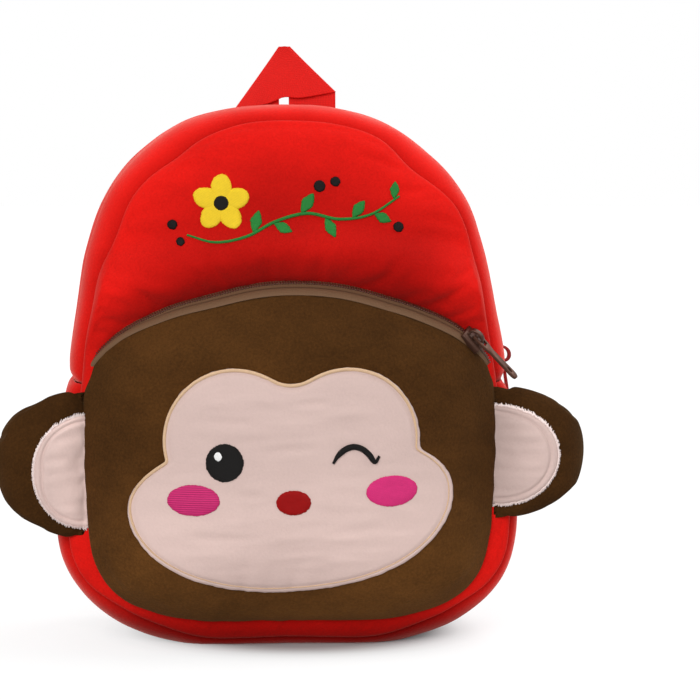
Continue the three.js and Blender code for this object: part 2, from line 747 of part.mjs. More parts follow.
// Pull with a square eye round the bridge and a small hole at its tip; its pivot is the origin.
function pullBody() {
  const { length, thick, eyeWidth, tipWidth, bar, eye, eyeHalf } = PULL;
  const outline = new THREE.Shape();
  outline.moveTo(-eyeWidth + 0.8, -bar);
  outline.lineTo(eyeWidth - 0.8, -bar);
  outline.quadraticCurveTo(eyeWidth, -bar, eyeWidth, 0.4);
  outline.lineTo(eyeWidth, eye);
  outline.quadraticCurveTo(eyeWidth * 0.75, eye + 2.5, eyeWidth * 0.8, eye + 4);
  outline.lineTo(tipWidth, length - 3);
  outline.quadraticCurveTo(tipWidth, length, 0, length);
  outline.quadraticCurveTo(-tipWidth, length, -tipWidth, length - 3);
  outline.lineTo(-eyeWidth * 0.8, eye + 4);
  outline.quadraticCurveTo(-eyeWidth * 0.75, eye + 2.5, -eyeWidth, eye);
  outline.lineTo(-eyeWidth, 0.4);
  outline.quadraticCurveTo(-eyeWidth, -bar, -eyeWidth + 0.8, -bar);
  const eyeHole = new THREE.Path();
  eyeHole.moveTo(-eyeHalf, bar);
  eyeHole.lineTo(-eyeHalf, eye);
  eyeHole.lineTo(eyeHalf, eye);
  eyeHole.lineTo(eyeHalf, bar);
  eyeHole.closePath();
  const tipHole = new THREE.Path();
  tipHole.absellipse(0, length - 4.2, 1.7, 1.4, 0, 2 * Math.PI, true, 0);
  outline.holes.push(eyeHole, tipHole);
  const plate = new THREE.ExtrudeGeometry(outline, { depth: thick, bevelEnabled: false, curveSegments: 5 });
  plate.translate(0, 0, -thick / 2);
  return plate;
}

// Frame whose second axis runs along the zip to the pull's side and whose third leaves the tape.
function sliderFrame(origin, along, normal) {
  const side = along.clone().cross(normal).normalize();
  const matrix = new THREE.Matrix4().makeBasis(side, along, normal);
  matrix.setPosition(origin);
  return matrix;
}

function placedPull(frame) {
  const pull = pullBody();
  pull.translate(0, 0, PIVOT_UP);
  pull.applyMatrix4(frame);
  return pull;
}

const mainSliderPlace = placeAtHeight(bodyCurve, MAIN_SLIDER_HEIGHT);
const mainSliderFrame = sliderFrame(
  zipRail(mainSliderPlace, zipMiddle, TAPE_TOP),
  bodyCurve.getTangentAt(mainSliderPlace).negate(),
  outwardAt(bodyCurve, mainSliderPlace),
);
addPiece('main_zip_slider', sliderBody().applyMatrix4(mainSliderFrame), COLOURS.plastic, 0.4);
addPiece('main_zip_pull', placedPull(mainSliderFrame), COLOURS.plastic, 0.4);

const pocketSliderPlace = placeAtHeight(pocketCurve, POCKET_SLIDER_HEIGHT);
const pocketSliderSection = pocketZipSection(pocketSliderPlace);
const pocketSliderFrame = sliderFrame(
  pocketCoilCentre(pocketSliderSection).addScaledVector(pocketSliderSection.normal, POCKET_SLIDER_LIFT),
  pocketSliderSection.along.clone().negate(),
  pocketSliderSection.normal,
);
addPiece('pocket_zip_slider', sliderBody().applyMatrix4(pocketSliderFrame), COLOURS.metal, 0.4, 0.8);
addPiece('pocket_zip_pull', placedPull(pocketSliderFrame), COLOURS.metal, 0.4, 0.8);

// Face patch and its embroidery follow the pocket's curve.

// Thin pad between two heights off the pocket, from its outline in the XZ plane.
function padOnPocket(outline, centre, ringParts, low, high) {
  const layer = (lift) => [
    vec(centre.x, pocketY(centre.x, centre.z) - lift, centre.z),
    ...ringParts.map((ringPart) =>
      outline.map((point) => {
        const x = THREE.MathUtils.lerp(centre.x, point.x, ringPart);
        const z = THREE.MathUtils.lerp(centre.z, point.z, ringPart);
        return vec(x, pocketY(x, z) - lift, z);
      }),
    ),
  ];
  return ringWall(layer(high), layer(low));
}

// Distance from the face's centre to the far side of a lobe along a direction.
function lobeReach(lobe, cos, sin) {
  const reachWith = (halfHeight) => {
    const x = (FACE_CENTRE.x - lobe.x) / lobe.halfWidth;
    const z = (FACE_CENTRE.z - lobe.z) / halfHeight;
    const dx = cos / lobe.halfWidth;
    const dz = sin / halfHeight;
    const a = dx * dx + dz * dz;
    const b = x * dx + z * dz;
    const c = x * x + z * z - 1;
    return (-b + Math.sqrt(b * b - a * c)) / a;
  };
  const above = reachWith(lobe.above);
  return FACE_CENTRE.z + above * sin >= lobe.z ? above : reachWith(lobe.below);
}

const faceOutline = evenSteps(0, 2 * Math.PI, 48)
  .slice(0, -1)
  .map((angle) => {
    const cos = Math.cos(angle);
    const sin = Math.sin(angle);
    const sum = FACE_LOBES.reduce((total, lobe) => total + lobeReach(lobe, cos, sin) ** FACE_BLEND, 0);
    const reach = sum ** (1 / FACE_BLEND);
    return { x: FACE_CENTRE.x + reach * cos, z: FACE_CENTRE.z + reach * sin };
  });
const FACE_TOP = FACE_GAP + FACE_THICK;
addPiece(
  'face_patch',
  padOnPocket(faceOutline, FACE_CENTRE, [0.35, 0.65, 0.85, 1], FACE_GAP, FACE_TOP),
  COLOURS.pink,
  0.9,
);

const STITCH_LOW = FACE_TOP + STITCH_GAP;
const STITCH_HIGH = STITCH_LOW + STITCH_THICK;

for (const oval of FACE_OVALS) {
  const outline = evenSteps(0, 2 * Math.PI, 20)
    .slice(0, -1)
    .map((angle) => {
      const long = oval.halfWidth * Math.cos(angle);
      const high = oval.halfHeight * Math.sin(angle);
      return {
        x: oval.x + long * Math.cos(oval.turn) - high * Math.sin(oval.turn),
        z: oval.z + long * Math.sin(oval.turn) + high * Math.cos(oval.turn),
      };
    });
  addPiece(oval.name, padOnPocket(outline, oval, [0.6, 1], STITCH_LOW, STITCH_HIGH), oval.colour, 0.7);
}

const winkCurve = new THREE.CatmullRomCurve3(WINK_LINE.map((row) => vec(row.x, 0, row.z)));
const winkSections = evenSteps(0, 1, 16).map((place) => {
  const point = winkCurve.getPointAt(place);
  const tangent = winkCurve.getTangentAt(place);
  const side = vec(-tangent.z, 0, tangent.x).multiplyScalar(WINK_WIDTH / 2);
  const corners = [point.clone().add(side), point.clone().sub(side)];
  const lifted = (corner, lift) => vec(corner.x, pocketY(corner.x, corner.z) - lift, corner.z);
  return [
    lifted(corners[0], STITCH_LOW),
    lifted(corners[1], STITCH_LOW),
    lifted(corners[1], STITCH_HIGH),
    lifted(corners[0], STITCH_HIGH),
  ];
});
addPiece('eye_wink', loft(winkSections), 0x17120f, 0.7);

// Ears

// Heading of the ear's middle surface at a distance from its root, positive towards the front.
function earHeading(along) {
  const part = THREE.MathUtils.clamp(along / EAR_LENGTH, 0, 1);
  return radians(EAR_FIRST_TURN - EAR_CURL * part ** 1.5);
}

const earLine = [vec(EAR_ROOT.x, EAR_ROOT.y, 0)];
const EAR_LINE_STEP = 0.5;
for (let along = 0; along < EAR_LENGTH; along += EAR_LINE_STEP) {
  const heading = earHeading(along + EAR_LINE_STEP / 2);
  const last = earLine[earLine.length - 1];
  const stepX = EAR_LINE_STEP * Math.cos(heading);
  const stepY = -EAR_LINE_STEP * Math.sin(heading);
  earLine.push(vec(last.x + stepX, last.y + stepY, 0));
}

const earCentre = { x: EAR_CENTRE.along, z: EAR_CENTRE.up };

// Outline of an ear laid flat: a straight root and a round outer edge.
function earOutline(ear) {
  const root = evenSteps(-1, 1, 8).map((part) => ({ x: 0, z: -part * ear.halfHeight * 0.93 }));
  const edge = evenSteps(-Math.PI / 2, Math.PI / 2, EAR_STEPS - 8).slice(1, -1);
  const round = edge.map((angle) => ({
    x: EAR_LENGTH * Math.cos(angle) ** 0.92,
    z: ear.halfHeight * Math.sin(angle),
  }));
  return [...root, ...round];
}

// Outline of the patch on an ear laid flat.
function patchOutline(ear) {
  const root = evenSteps(-1, 1, 6).map((part) => ({
    x: PATCH_START,
    z: ear.patchUp - part * ear.patchHalf * 0.92,
  }));
  const edge = evenSteps(-Math.PI / 2, Math.PI / 2, 16).slice(1, -1);
  const round = edge.map((angle) => ({
    x: PATCH_START + (ear.patchEnd - PATCH_START) * Math.cos(angle) ** 0.8,
    z: ear.patchUp + ear.patchHalf * Math.sin(angle),
  }));
  return [...root, ...round];
}

// Point off the ear's middle surface, which curls in plan and stands upright.
function earPoint(ear, along, up, lift) {
  const place = THREE.MathUtils.clamp(along / EAR_LINE_STEP, 0, earLine.length - 1.001);
  const index = Math.floor(place);
  const point = earLine[index].clone().lerp(earLine[index + 1], place - index);
  const heading = earHeading(along);
  const x = point.x - lift * Math.sin(heading);
  const y = point.y - lift * Math.cos(heading);
  return vec(ear.side * x, y, ear.height + up);
}

// Rings of points round a centre of an ear laid flat, lifted off its middle surface.
function earLayer(ear, outline, centre, ringParts, lift) {
  const lifted = (along, up) => earPoint(ear, along, up, lift(along, up));
  const rings = ringParts.map((ringPart) =>
    outline.map((point) => {
      const along = THREE.MathUtils.lerp(centre.x, point.x, ringPart);
      const up = THREE.MathUtils.lerp(centre.z, point.z, ringPart);
      return lifted(along, up);
    }),
  );
  return [lifted(centre.x, centre.z), ...rings];
}

for (const ear of EARS) {
  const outline = earOutline(ear);
  const lookup = polarLookup(outline, earCentre);
  const puff = (along, up) => {
    const ringPart = Math.min(lookup(along, up).part, 1);
    const swell = EAR_HALF_THICK * (1 - ringPart ** 2.2) ** 0.7;
    return EAR_EDGE + swell * smoothstep(along, -4, 14);
  };
  const rings = [0.4, 0.7, 0.9, 1];
  const front = earLayer(ear, outline, earCentre, rings, puff);
  const back = earLayer(ear, outline, earCentre, rings, (along, up) => -puff(along, up));
  addPiece(`ear_${ear.name}`, ringWall(front, back), COLOURS.brown, 0.95);

  const patch = patchOutline(ear);
  const patchCentre = { x: PATCH_CENTRE, z: ear.patchUp };
  const patchRings = [0.5, 0.8, 1];
  const above = (lift) =>
    earLayer(ear, patch, patchCentre, patchRings, (along, up) => puff(along, up) + lift);
  addPiece(`inner_ear_${ear.name}`, ringWall(above(FACE_GAP + 1.2), above(FACE_GAP)), COLOURS.pink, 0.9);
}

// Hanging loop: two legs side by side and a folded triangle of double webbing above them.

function backSeamHeight(x) {
  const entries = backSeam.filter(({ point }) => point.z > 180).map(({ point }) => point);
  entries.sort((first, second) => first.x - second.x);
  const next = entries.findIndex((point) => point.x > x);
  const before = entries[next - 1];
  const after = entries[next];
  return THREE.MathUtils.mapLinear(x, before.x, after.x, before.z, after.z);
}

function hangLoop() {
  const { halfWidth, slit, shoulder, apex, apexFlat, lean } = LOOP;
  const foot = (x) => backSeamHeight(x) + 0.5;
  const legs = new THREE.Shape();
  legs.moveTo(-halfWidth, foot(-halfWidth));
  legs.lineTo(-slit, foot(-slit));
  legs.lineTo(-slit, shoulder - 1);
  legs.lineTo(slit, shoulder - 1);
  legs.lineTo(slit, foot(slit));
  legs.lineTo(halfWidth, foot(halfWidth));
  legs.lineTo(halfWidth + 1, shoulder + 1);
  legs.lineTo(apexFlat + 1, apex);
  legs.lineTo(-apexFlat + 1, apex);
  legs.lineTo(-halfWidth + 1, shoulder - 3);
  legs.closePath();
  const fold = new THREE.Shape();
  fold.moveTo(-halfWidth + 2.5, shoulder - 2);
  fold.lineTo(halfWidth - 1, shoulder + 1.4);
  fold.lineTo(apexFlat + 0.8, apex - 0.6);
  fold.lineTo(-apexFlat + 1.2, apex - 0.6);
  fold.closePath();
  const front = new THREE.ExtrudeGeometry(legs, { depth: WEBBING, bevelEnabled: false });
  const back = new THREE.ExtrudeGeometry(fold, { depth: WEBBING + 0.2, bevelEnabled: false });
  back.translate(0, 0, -WEBBING);
  const loop = joined([front, back]);
  loop.rotateX(Math.PI / 2);
  const base = backSeamHeight(0);
  const position = loop.getAttribute('position');
  for (let index = 0; index < position.count; index += 1) {
    const rise = Math.max(position.getZ(index) - base, 0);
    position.setY(index, LOOP.front + WEBBING + position.getY(index) + lean * rise);
  }
  return loop;
}

addPiece('hang_loop', hangLoop(), COLOURS.webbing, 0.8);

// Straps, tabs and buckles; each is built on the right side and mirrored for the left.

// Point in a strap's own plane: down from the buckle's upper bar and out from the back.
function strapPoint(down, out) {
  const tilt = radians(STRAP_TILT);
  return vec(BUCKLE.x + down * Math.sin(tilt), BUCKLE.y + out, BUCKLE.z - down * Math.cos(tilt));
}

// Webbing along a line of points, each with the tilt of its width from level.
function ribbon(points, tilts, width) {
  return loft(
    points.map((point, index) => {
      const before = points[Math.max(index - 1, 0)];
      const after = points[Math.min(index + 1, points.length - 1)];
      const tilt = radians(tilts[index]);
      const across = vec(Math.cos(tilt), 0, Math.sin(tilt));
      const along = after.clone().sub(before);
      const normal = across.clone().cross(along).normalize().multiplyScalar(WEBBING / 2);
      const half = across.multiplyScalar(width / 2);
      return [
        point.clone().add(half).add(normal),
        point.clone().sub(half).add(normal),
        point.clone().sub(half).sub(normal),
        point.clone().add(half).sub(normal),
      ];
    }),
  );
}

function strapBody() {
  const slope = Math.tan(radians(STRAP_TILT));
  const rows = STRAP_RUN.map((row) => vec(BUCKLE.x + (BUCKLE.z - row.height) * slope, row.back, row.height));
  const run = new THREE.CatmullRomCurve3(rows, false, 'centripetal').getSpacedPoints(STRAP_RUN_STEPS);
  const tail = [];
  for (let index = STRAP_TAIL_POINTS; index > 0; index -= 1) {
    const along = run[index + 1].clone().sub(run[index - 1]).normalize();
    const lift = vec(0, -along.z, along.y).normalize().multiplyScalar(STRAP_TAIL_LIFT);
    tail.push(run[index].clone().add(lift));
  }
  const turn = STRAP_TURN.map((row) => strapPoint(row.down, row.out));
  const points = [...tail, ...turn, ...run];
  const tilts = points.map((point) => STRAP_TILT * smoothstep(point.z, 2, 40));
  return ribbon(points, tilts, STRAP_WIDTH);
}

function tabBody() {
  const points = STRAP_TAB.map((row) => strapPoint(row.down, row.out));
  return ribbon(points, STRAP_TAB.map((row) => row.tilt), STRAP_WIDTH);
}

function roundedOutline(shape, halfWidth, low, high, radius) {
  shape.moveTo(-halfWidth + radius, low);
  shape.lineTo(halfWidth - radius, low);
  shape.quadraticCurveTo(halfWidth, low, halfWidth, low + radius);
  shape.lineTo(halfWidth, high - radius);
  shape.quadraticCurveTo(halfWidth, high, halfWidth - radius, high);
  shape.lineTo(-halfWidth + radius, high);
  shape.quadraticCurveTo(-halfWidth, high, -halfWidth, high - radius);
  shape.lineTo(-halfWidth, low + radius);
  shape.quadraticCurveTo(-halfWidth, low, -halfWidth + radius, low);
  return shape;
}

// Three-barred buckle: a flat frame with two slots.
function buckleBody() {
  const slotHalf = STRAP_WIDTH / 2 + 0.6;
  const bar = BUCKLE_BAR / 2;
  const halfWidth = slotHalf + BUCKLE_RAIL;
  const foot = -2 * BUCKLE_PITCH - bar;
  const outline = roundedOutline(new THREE.Shape(), halfWidth, foot, bar, 2.5);
  for (const slot of [0, 1]) {
    const low = -(slot + 1) * BUCKLE_PITCH + bar;
    outline.holes.push(roundedOutline(new THREE.Path(), slotHalf, low, -slot * BUCKLE_PITCH - bar, 0.8));
  }
  const frame = new THREE.ExtrudeGeometry(outline, {
    depth: BUCKLE_THICK,
    bevelEnabled: false,
    curveSegments: 4,
  });
  frame.translate(0, 0, -BUCKLE_THICK / 2);
  frame.rotateX(Math.PI / 2);
  frame.rotateY(radians(-STRAP_TILT));
  frame.translate(BUCKLE.x, BUCKLE.y, BUCKLE.z);
  return frame;
}

function mirrored(geometry) {
  const copy = geometry.index ? geometry.toNonIndexed() : geometry.clone();
  const position = copy.getAttribute('position');
  const points = [];
  const triangles = [];
  for (let index = 0; index < position.count; index += 1) {
    points.push(vec(-position.getX(index), position.getY(index), position.getZ(index)));
  }
  for (let index = 0; index < position.count; index += 3) {
    triangles.push([index, index + 2, index + 1]);
  }
  return solid(points, triangles);
}

for (const [name, side] of [['left', -1], ['right', 1]]) {
  const place = (geometry) => (side > 0 ? geometry : mirrored(geometry));
  addPiece(`strap_${name}`, place(strapBody()), COLOURS.webbing, 0.8);
  addPiece(`strap_tab_${name}`, place(tabBody()), COLOURS.webbing, 0.8);
  addPiece(`tri_glide_${name}`, place(buckleBody()), COLOURS.plastic, 0.35);
}

export default part;
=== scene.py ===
"""Add-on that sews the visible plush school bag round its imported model.

The tables and the shaping functions are in millimetres, and every mesh is written in metres.
X runs to the right seen from the front, Y from front to back, and Z up from the floor.
"""

import json
import math
from collections import namedtuple

import bpy
import numpy as np
from bpy.props import FloatProperty, FloatVectorProperty, PointerProperty
from mathutils import Matrix, Vector, noise
from mathutils.bvhtree import BVHTree


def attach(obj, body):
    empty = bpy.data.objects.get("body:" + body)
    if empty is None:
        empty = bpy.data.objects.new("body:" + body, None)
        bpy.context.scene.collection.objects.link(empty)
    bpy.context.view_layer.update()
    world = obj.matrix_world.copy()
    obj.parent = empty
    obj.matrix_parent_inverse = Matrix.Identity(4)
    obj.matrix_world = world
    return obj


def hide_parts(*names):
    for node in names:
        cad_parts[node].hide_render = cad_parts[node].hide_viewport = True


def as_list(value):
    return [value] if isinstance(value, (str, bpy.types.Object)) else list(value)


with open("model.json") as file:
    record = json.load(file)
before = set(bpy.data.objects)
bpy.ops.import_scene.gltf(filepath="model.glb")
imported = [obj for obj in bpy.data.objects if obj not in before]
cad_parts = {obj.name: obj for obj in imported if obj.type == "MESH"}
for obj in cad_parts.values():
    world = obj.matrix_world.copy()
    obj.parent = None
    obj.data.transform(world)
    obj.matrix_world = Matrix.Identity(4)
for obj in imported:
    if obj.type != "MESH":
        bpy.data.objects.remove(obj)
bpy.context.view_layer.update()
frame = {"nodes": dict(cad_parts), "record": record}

bl_info = {
    "name": "Plush school bag",
    "version": (1, 0, 0),
    "blender": (4, 5, 0),
    "location": "View3D > Sidebar > Bag",
    "description": "Sews a child's plush school bag round its packed model",
    "category": "Add Mesh",
}

MM = 0.001
TURN = 2 * math.pi

# Body: height and half width of its widest line, from the middle of the base to the middle of the top
BODY_OUTLINE = [
    (-3, 0), (-3, 42), (3, 67.5), (10, 81.5), (22, 94.5), (40, 103.5), (70, 105), (100, 103), (125, 100),
    (150, 96), (178, 91), (200, 82.5), (216.5, 69.5), (232.6, 47.5), (239.8, 24), (241.6, 0),
]
FRONT_SEAM_Y = -42
BACK_SEAM_Y = 42
BODY_DEPTH = BACK_SEAM_Y - FRONT_SEAM_Y
SIDE_INSET = 5.5
TOP_INSET = 3
BASE_INSET = 7
CORNER_TUCK = 3
SHOULDER_TUCK = 2.6
SEAM_WANDER = 1.8
TOP_LEAN = -1.4
TOP_CROWN = 2.0
FRONT_DOME = 12
BACK_DOME = 6
PANEL_CENTRE = (0, 120)
PANEL_OVERHANG = 3.4
FRONT_DRAW = 1.6
# Shares of a seam's depth that draw the plush in from the outline, and from front to back
SEAM_IN = 0.63
SEAM_BACK = 0.78
# How far from a seam the plush is fullest, and how far its gathers reach
SEAM_SWELL = 8
GATHER_REACH = 9
# Depth along the gusset's curve beside its straight depth
GUSSET_BOW = 1.1
# Where the front seam is drawn in: side, height, spread and depth
SEAM_TUCKS = [(-1, 231, 10, 4.2), (-1, 189, 18, 3.5), (1, 225, 9, 3.4), (1, 204, 9, -1.0), (1, 176, 14, 1.7)]
SIDE_SEAM_HEIGHT = 120
# Soft dents in the gusset: side, height, reach, place and spread across its depth, dent
GUSSET_FOLDS = [
    (1, 175, 45, 0.31, 0.07, 2.2),
    (-1, 178, 40, 0.30, 0.07, 2.0),
    (1, 119, 7, 0.5, 0.6, 1.6),
    (-1, 119, 7, 0.5, 0.6, 1.6),
    (1, 62, 22, 0.62, 0.16, 1.8),
    (-1, 58, 24, 0.45, 0.14, 1.8),
]

# Main zip, across the gusset's depth
ZIP_FRONT = 0.49
ZIP_BACK = 0.645
ZIP_MIDDLE = (ZIP_FRONT + ZIP_BACK) / 2
TAPE_TUCK = 0.03
TAPE_TOP = 2.8
COIL_FOOT = 2.5
# Pulls' width at the eye and at the tip, and their length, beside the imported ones
PULL_WIDTH = 0.76
PULL_TIP_WIDTH = {"main": 0.76, "pocket": 0.46}
PULL_LENGTH = 1.18
# Foot of the main slider's bridge, and how far the bridge is drawn out from it
BRIDGE_FOOT = 100.6
BRIDGE_RISE = 0.45

# Pocket: height and half width of its seam and zip line
POCKET_OUTLINE = [
    (13, 0), (14, 47), (20, 69), (27, 79.5), (38, 86.5), (52, 89.5), (72, 91), (94, 92),
    (114, 91.5), (129, 88), (143, 76.5), (154, 57), (160, 41), (165, 21), (166.5, 0),
]
POCKET_CENTRE = (0, 86)
POCKET_FRONT_Y = -78
POCKET_RIM_STANDOFF = 2.95
POCKET_ZIP_STANDOFF = 7
POCKET_ZIP_BAND = 6.5
POCKET_HEM = 1.8
POCKET_ZIP_END = 123
POCKET_COIL_END = 128.5
# How far the tape's end beside the slider sinks under the front panel
TAPE_SINK = 1.8
POCKET_SAG = 2.3
PIPING = 0.9

# Face patch: lobes as x, height, half width, reach above, reach below and tilt
FACE_CENTRE = (-1, 84)
FACE_LOBES = [
    (-25.8, 97, 31.2, 31.7, 31.5, 0),
    (24, 97, 31.6, 32, 32, 0),
    (-0.8, 70, 72, 32, 41, 4),
    (-1, 100, 34, 22, 30, 0),
]
FACE_BLEND = 60
# Steps of half a degree over which the dip between the upper lobes is eased
FACE_EASE = 40
# Creases of the face: two ends, width and depth
FACE_CREASES = [
    (-20, 92.5, 16, 94, 1.6, 0.5), (-25, 73.4, -11, 73.6, 1.4, 0.5), (-4, 113.5, 18, 114, 1.5, 0.4),
    (8, 57, 46, 59, 1.8, 0.4), (-52, 55, -16, 54, 1.8, 0.4), (14, 81, 34, 82, 1.6, 0.35),
    (-40, 106, -14, 105, 1.6, 0.35),
]

# Ears
EAR_ROOT = (92.9, -46.2)
EAR_LENGTH = 47.5
EAR_CENTRE = (20, 0)
EAR_HALF_THICK = 5.5
EAR_FIRST_TURN = 8
EAR_CURL = 78
EAR_TUCK = 5
EAR_ROOT_PINCH = 0.94
PATCH_START = -4.5
PATCH_CENTRE = 11
# An ear and its inner patch, whose painted light and shade gives its brightness at the root, further out, and
# how far out
Ear = namedtuple("Ear", "name side height half_height reach patch_end patch_half patch_rise patch_tone")
EARS = [
    Ear("left", -1, 83.5, 34.5, 46.5, 19.5, 25.4, -2.9, (1.33, 0.95, 17.5)),
    Ear("right", 1, 88, 31.5, 48.5, 24.5, 22.5, -1, (0.77, 0.92, 22)),
]

# Straps
STRAP_WIDTH = 25
STRAP_TILT = 10
BUCKLE = (18, 52, 227)
# Down and out from the buckle's upper bar, where the strap turns through its other bars
STRAP_TURN = [
    (20.5, -2.3), (17.2, -2.5), (15.6, -2.45), (14, -1.6), (12.75, 0), (11.5, 1.6), (10.1, 2.4),
    (8.2, 2.7), (6.4, 2.3), (5.6, 1), (5.6, -0.7), (6.1, -2.1), (8.2, -2.9), (12.5, -3.9),
]
# Height and distance back of the strap's run from the buckle to the base
STRAP_RUN = [
    (210, 47.6), (203, 48.4), (190, 56.5), (165, 81.5), (136, 104), (105, 117), (78, 121),
    (50, 116), (25, 102), (10, 87), (3.6, 75), (2.6, 62), (2.6, 50), (3.2, 43.6),
]
STRAP_RUN_STEPS = 34
STRAP_TAIL_POINTS = 6
STRAP_TAIL_LIFT = 2.3
# Down, out and tilt of the tab round the buckle's upper bar
STRAP_TAB = [
    (-7.6, -6.2, -9), (-5.6, -2.4, 2), (-3.6, 1.5, 9), (-1.8, 2.4, 10), (1.5, 2.6, 10), (3, 1.4, 10),
    (3, -0.6, 10), (2.2, -2.2, 10), (-0.4, -3.2, 10), (-3.6, -5.6, 2), (-6.6, -8, -9),
]

# Hanging loop
LOOP_LEFT = (-22.6, 241.6)
LOOP_RIGHT = (25.4, 250.1)
LOOP_APEX = (1.1, 271.6)
LOOP_APEX_HALF = 2.2
LOOP_SLIT = (-1.4, 3.2)
LOOP_FRONT = 42.5
LOOP_BASE = 238.6
LOOP_LEAN = 0.06

# Embroidered sprig on the front panel: a flower, and leaves and berries along a stem
FLOWER = (-31, 200)
PETAL_OFF = 6.6
STEM = [(-46, 186), (-34, 183), (-20, 185.5), (-7, 192), (7, 195.5), (21, 193), (35, 195), (48, 203)]
# Place along the stem, side of it, length and half width
LEAVES = [
    (0.3, 1, 10, 2.7), (0.4, -1, 9, 2.4), (0.53, 1, 10.5, 2.8), (0.64, -1, 9.5, 2.6), (0.76, 1, 9.5, 2.6),
    (0.86, -1, 8.5, 2.4), (0.97, 1, 8, 2.2),
]
# X, height and radius
BERRIES = [(12.5, 207.5, 2.6), (19.5, 209.5, 2.2), (47.5, 189.5, 2.3), (-52.5, 190.5, 2.2), (-49, 183.2, 1.9)]

# Brightness of each plush where it is painted lightest and where it is painted in its deepest shade; the
# red's painted shade darkens by channel
SHADE_MARK = "pressed"
DEEP_RED = (0.42, 0.3, 0.3)
RED_TONES = (1.12, DEEP_RED[0])
BROWN_TONES = (1.45, 0.75)
PINK_TONES = (1.35, 0.7)


def paint(red, green, blue):
    """Linear colour from the 0 to 255 numbers that a screen shows."""
    shown = [channel / 255 for channel in (red, green, blue)]
    return tuple(((c + 0.055) / 1.055) ** 2.4 if c > 0.04045 else c / 12.92 for c in shown)


def length(name, description, default):
    return FloatProperty(name=name, description=description, default=default * MM, unit="LENGTH", precision=4)


def colour(name, description, default):
    return FloatVectorProperty(
        name=name, description=description, default=paint(*default), size=3, min=0, max=1, subtype="COLOR"
    )


class BagSizes(bpy.types.PropertyGroup):
    """Sizes of the bag's cloth and its seams."""

    wall: length("Plush wall", "Thickness of the bag's plush walls", 2.4)
    pocket_wall: length("Pocket wall", "Thickness of the pocket's plush", 2.2)
    patch: length("Patch", "Thickness of the sewn-on patches", 0.6)
    webbing: length("Webbing", "Thickness of the straps and the loop", 1.4)
    tape: length("Zip tape", "Thickness of the zips' tapes", 0.9)
    seam_depth: length("Seam depth", "How far a seam pulls the plush in", 3.4)
    seam_width: length("Seam width", "How wide the groove of a seam is", 3.6)
    pucker: length("Pucker", "Height of the gathers beside a seam", 0.55)
    lumps: length("Lumps", "Height of the soft lumps of the filling", 0.9)


class BagColours(bpy.types.PropertyGroup):
    """Colours of the bag's finishes."""

    red: colour("Red plush", "Body of the bag", (203, 22, 16))
    brown: colour("Brown plush", "Pocket and ears", (76, 47, 19))
    pink: colour("Pink plush", "Face and inner ears", (205, 180, 173))
    webbing: colour("Red webbing", "Straps and hanging loop", (206, 22, 15))
    zip_red: colour("Red zip", "Main zip's tape and coil", (150, 20, 18))
    zip_brown: colour("Brown zip tape", "Pocket zip's tape", (104, 77, 55))
    coil_brown: colour("Brown zip coil", "Pocket zip's coil", (80, 34, 24))
    bronze: colour("Bronze", "Pocket zip's slider and pull", (92, 60, 46))
    black: colour("Black thread", "Eyes and the dark stitches", (20, 18, 17))
    magenta: colour("Magenta thread", "Cheeks", (190, 40, 104))
    nose: colour("Red thread", "Nose", (148, 4, 4))
    tan: colour("Tan thread", "Edge of the face", (214, 180, 146))
    green: colour("Green thread", "Leaves of the sprig", (38, 122, 52))
    yellow: colour("Yellow thread", "Petals of the flower", (232, 196, 40))


# Lines and shapes


def smooth_line(points, closed=False, per_span=48):
    """Close-set points on the centripetal curve through a row of points."""
    points = np.asarray(points, float)
    if closed:
        start = points
        before = np.roll(points, 1, axis=0)
        after = np.roll(points, -1, axis=0)
        beyond = np.roll(points, -2, axis=0)
    else:
        start = points[:-1]
        after = points[1:]
        before = np.vstack([2 * points[:1] - points[1:2], points[:-2]])
        beyond = np.vstack([points[2:], 2 * points[-1:] - points[-2:-1]])
    first = np.sqrt(np.linalg.norm(start - before, axis=1))[:, None]
    middle = np.sqrt(np.linalg.norm(after - start, axis=1))[:, None]
    last = np.sqrt(np.linalg.norm(beyond - after, axis=1))[:, None]
    leave = (start - before) / first - (after - before) / (first + middle) + (after - start) / middle
    arrive = (after - start) / middle - (beyond - start) / (middle + last) + (beyond - after) / last
    leave = leave * middle
    arrive = arrive * middle
    step = np.linspace(0, 1, per_span, endpoint=False)[:, None, None]
    spans = (
        start
        + leave * step
        + (3 * (after - start) - 2 * leave - arrive) * step**2
        + (2 * (start - after) + leave + arrive) * step**3
    )
    line = spans.transpose(1, 0, 2).reshape(-1, points.shape[1])
    return np.vstack([line, points[:1] if closed else points[-1:]])


class Line:
    """Line measured by its own length: its start is place 0 and its end place 1."""

    def __init__(self, points, closed=False):
        self.points = np.asarray(points, float)
        self.closed = closed
        steps = np.linalg.norm(np.diff(self.points, axis=0), axis=1)
        self.lengths = np.concatenate([[0], np.cumsum(steps)])
        self.length = self.lengths[-1]

    def at(self, place):
        where = np.asarray(place, float)
        where = (where % 1 if self.closed else np.clip(where, 0, 1)) * self.length
        return np.stack([np.interp(where, self.lengths, axis) for axis in self.points.T], axis=-1)

    def along(self, place):
        reach = 0.4 / self.length
        return direction(self.at(np.asarray(place) + reach) - self.at(np.asarray(place) - reach))

    def outward(self, place):
        """Outward direction of a closed line that runs anticlockwise seen from the front."""
        along = self.along(place)
        return np.stack([along[..., 1], -along[..., 0]], axis=-1)


def outline(rows):
    """Closed line from rows of height and half width, the same on both sides of the middle."""
    right = [(half, height) for height, half in rows]
    left = [(-half, height) for height, half in reversed(rows[1:-1])]
    return Line(smooth_line(right + left, closed=True), closed=True)


def place_at_height(line, height):
    """Place on the right half of an outline at that height."""
    places = np.linspace(0.05, 0.5, 4000)
    return float(np.interp(height, line.at(places)[:, 1], places))


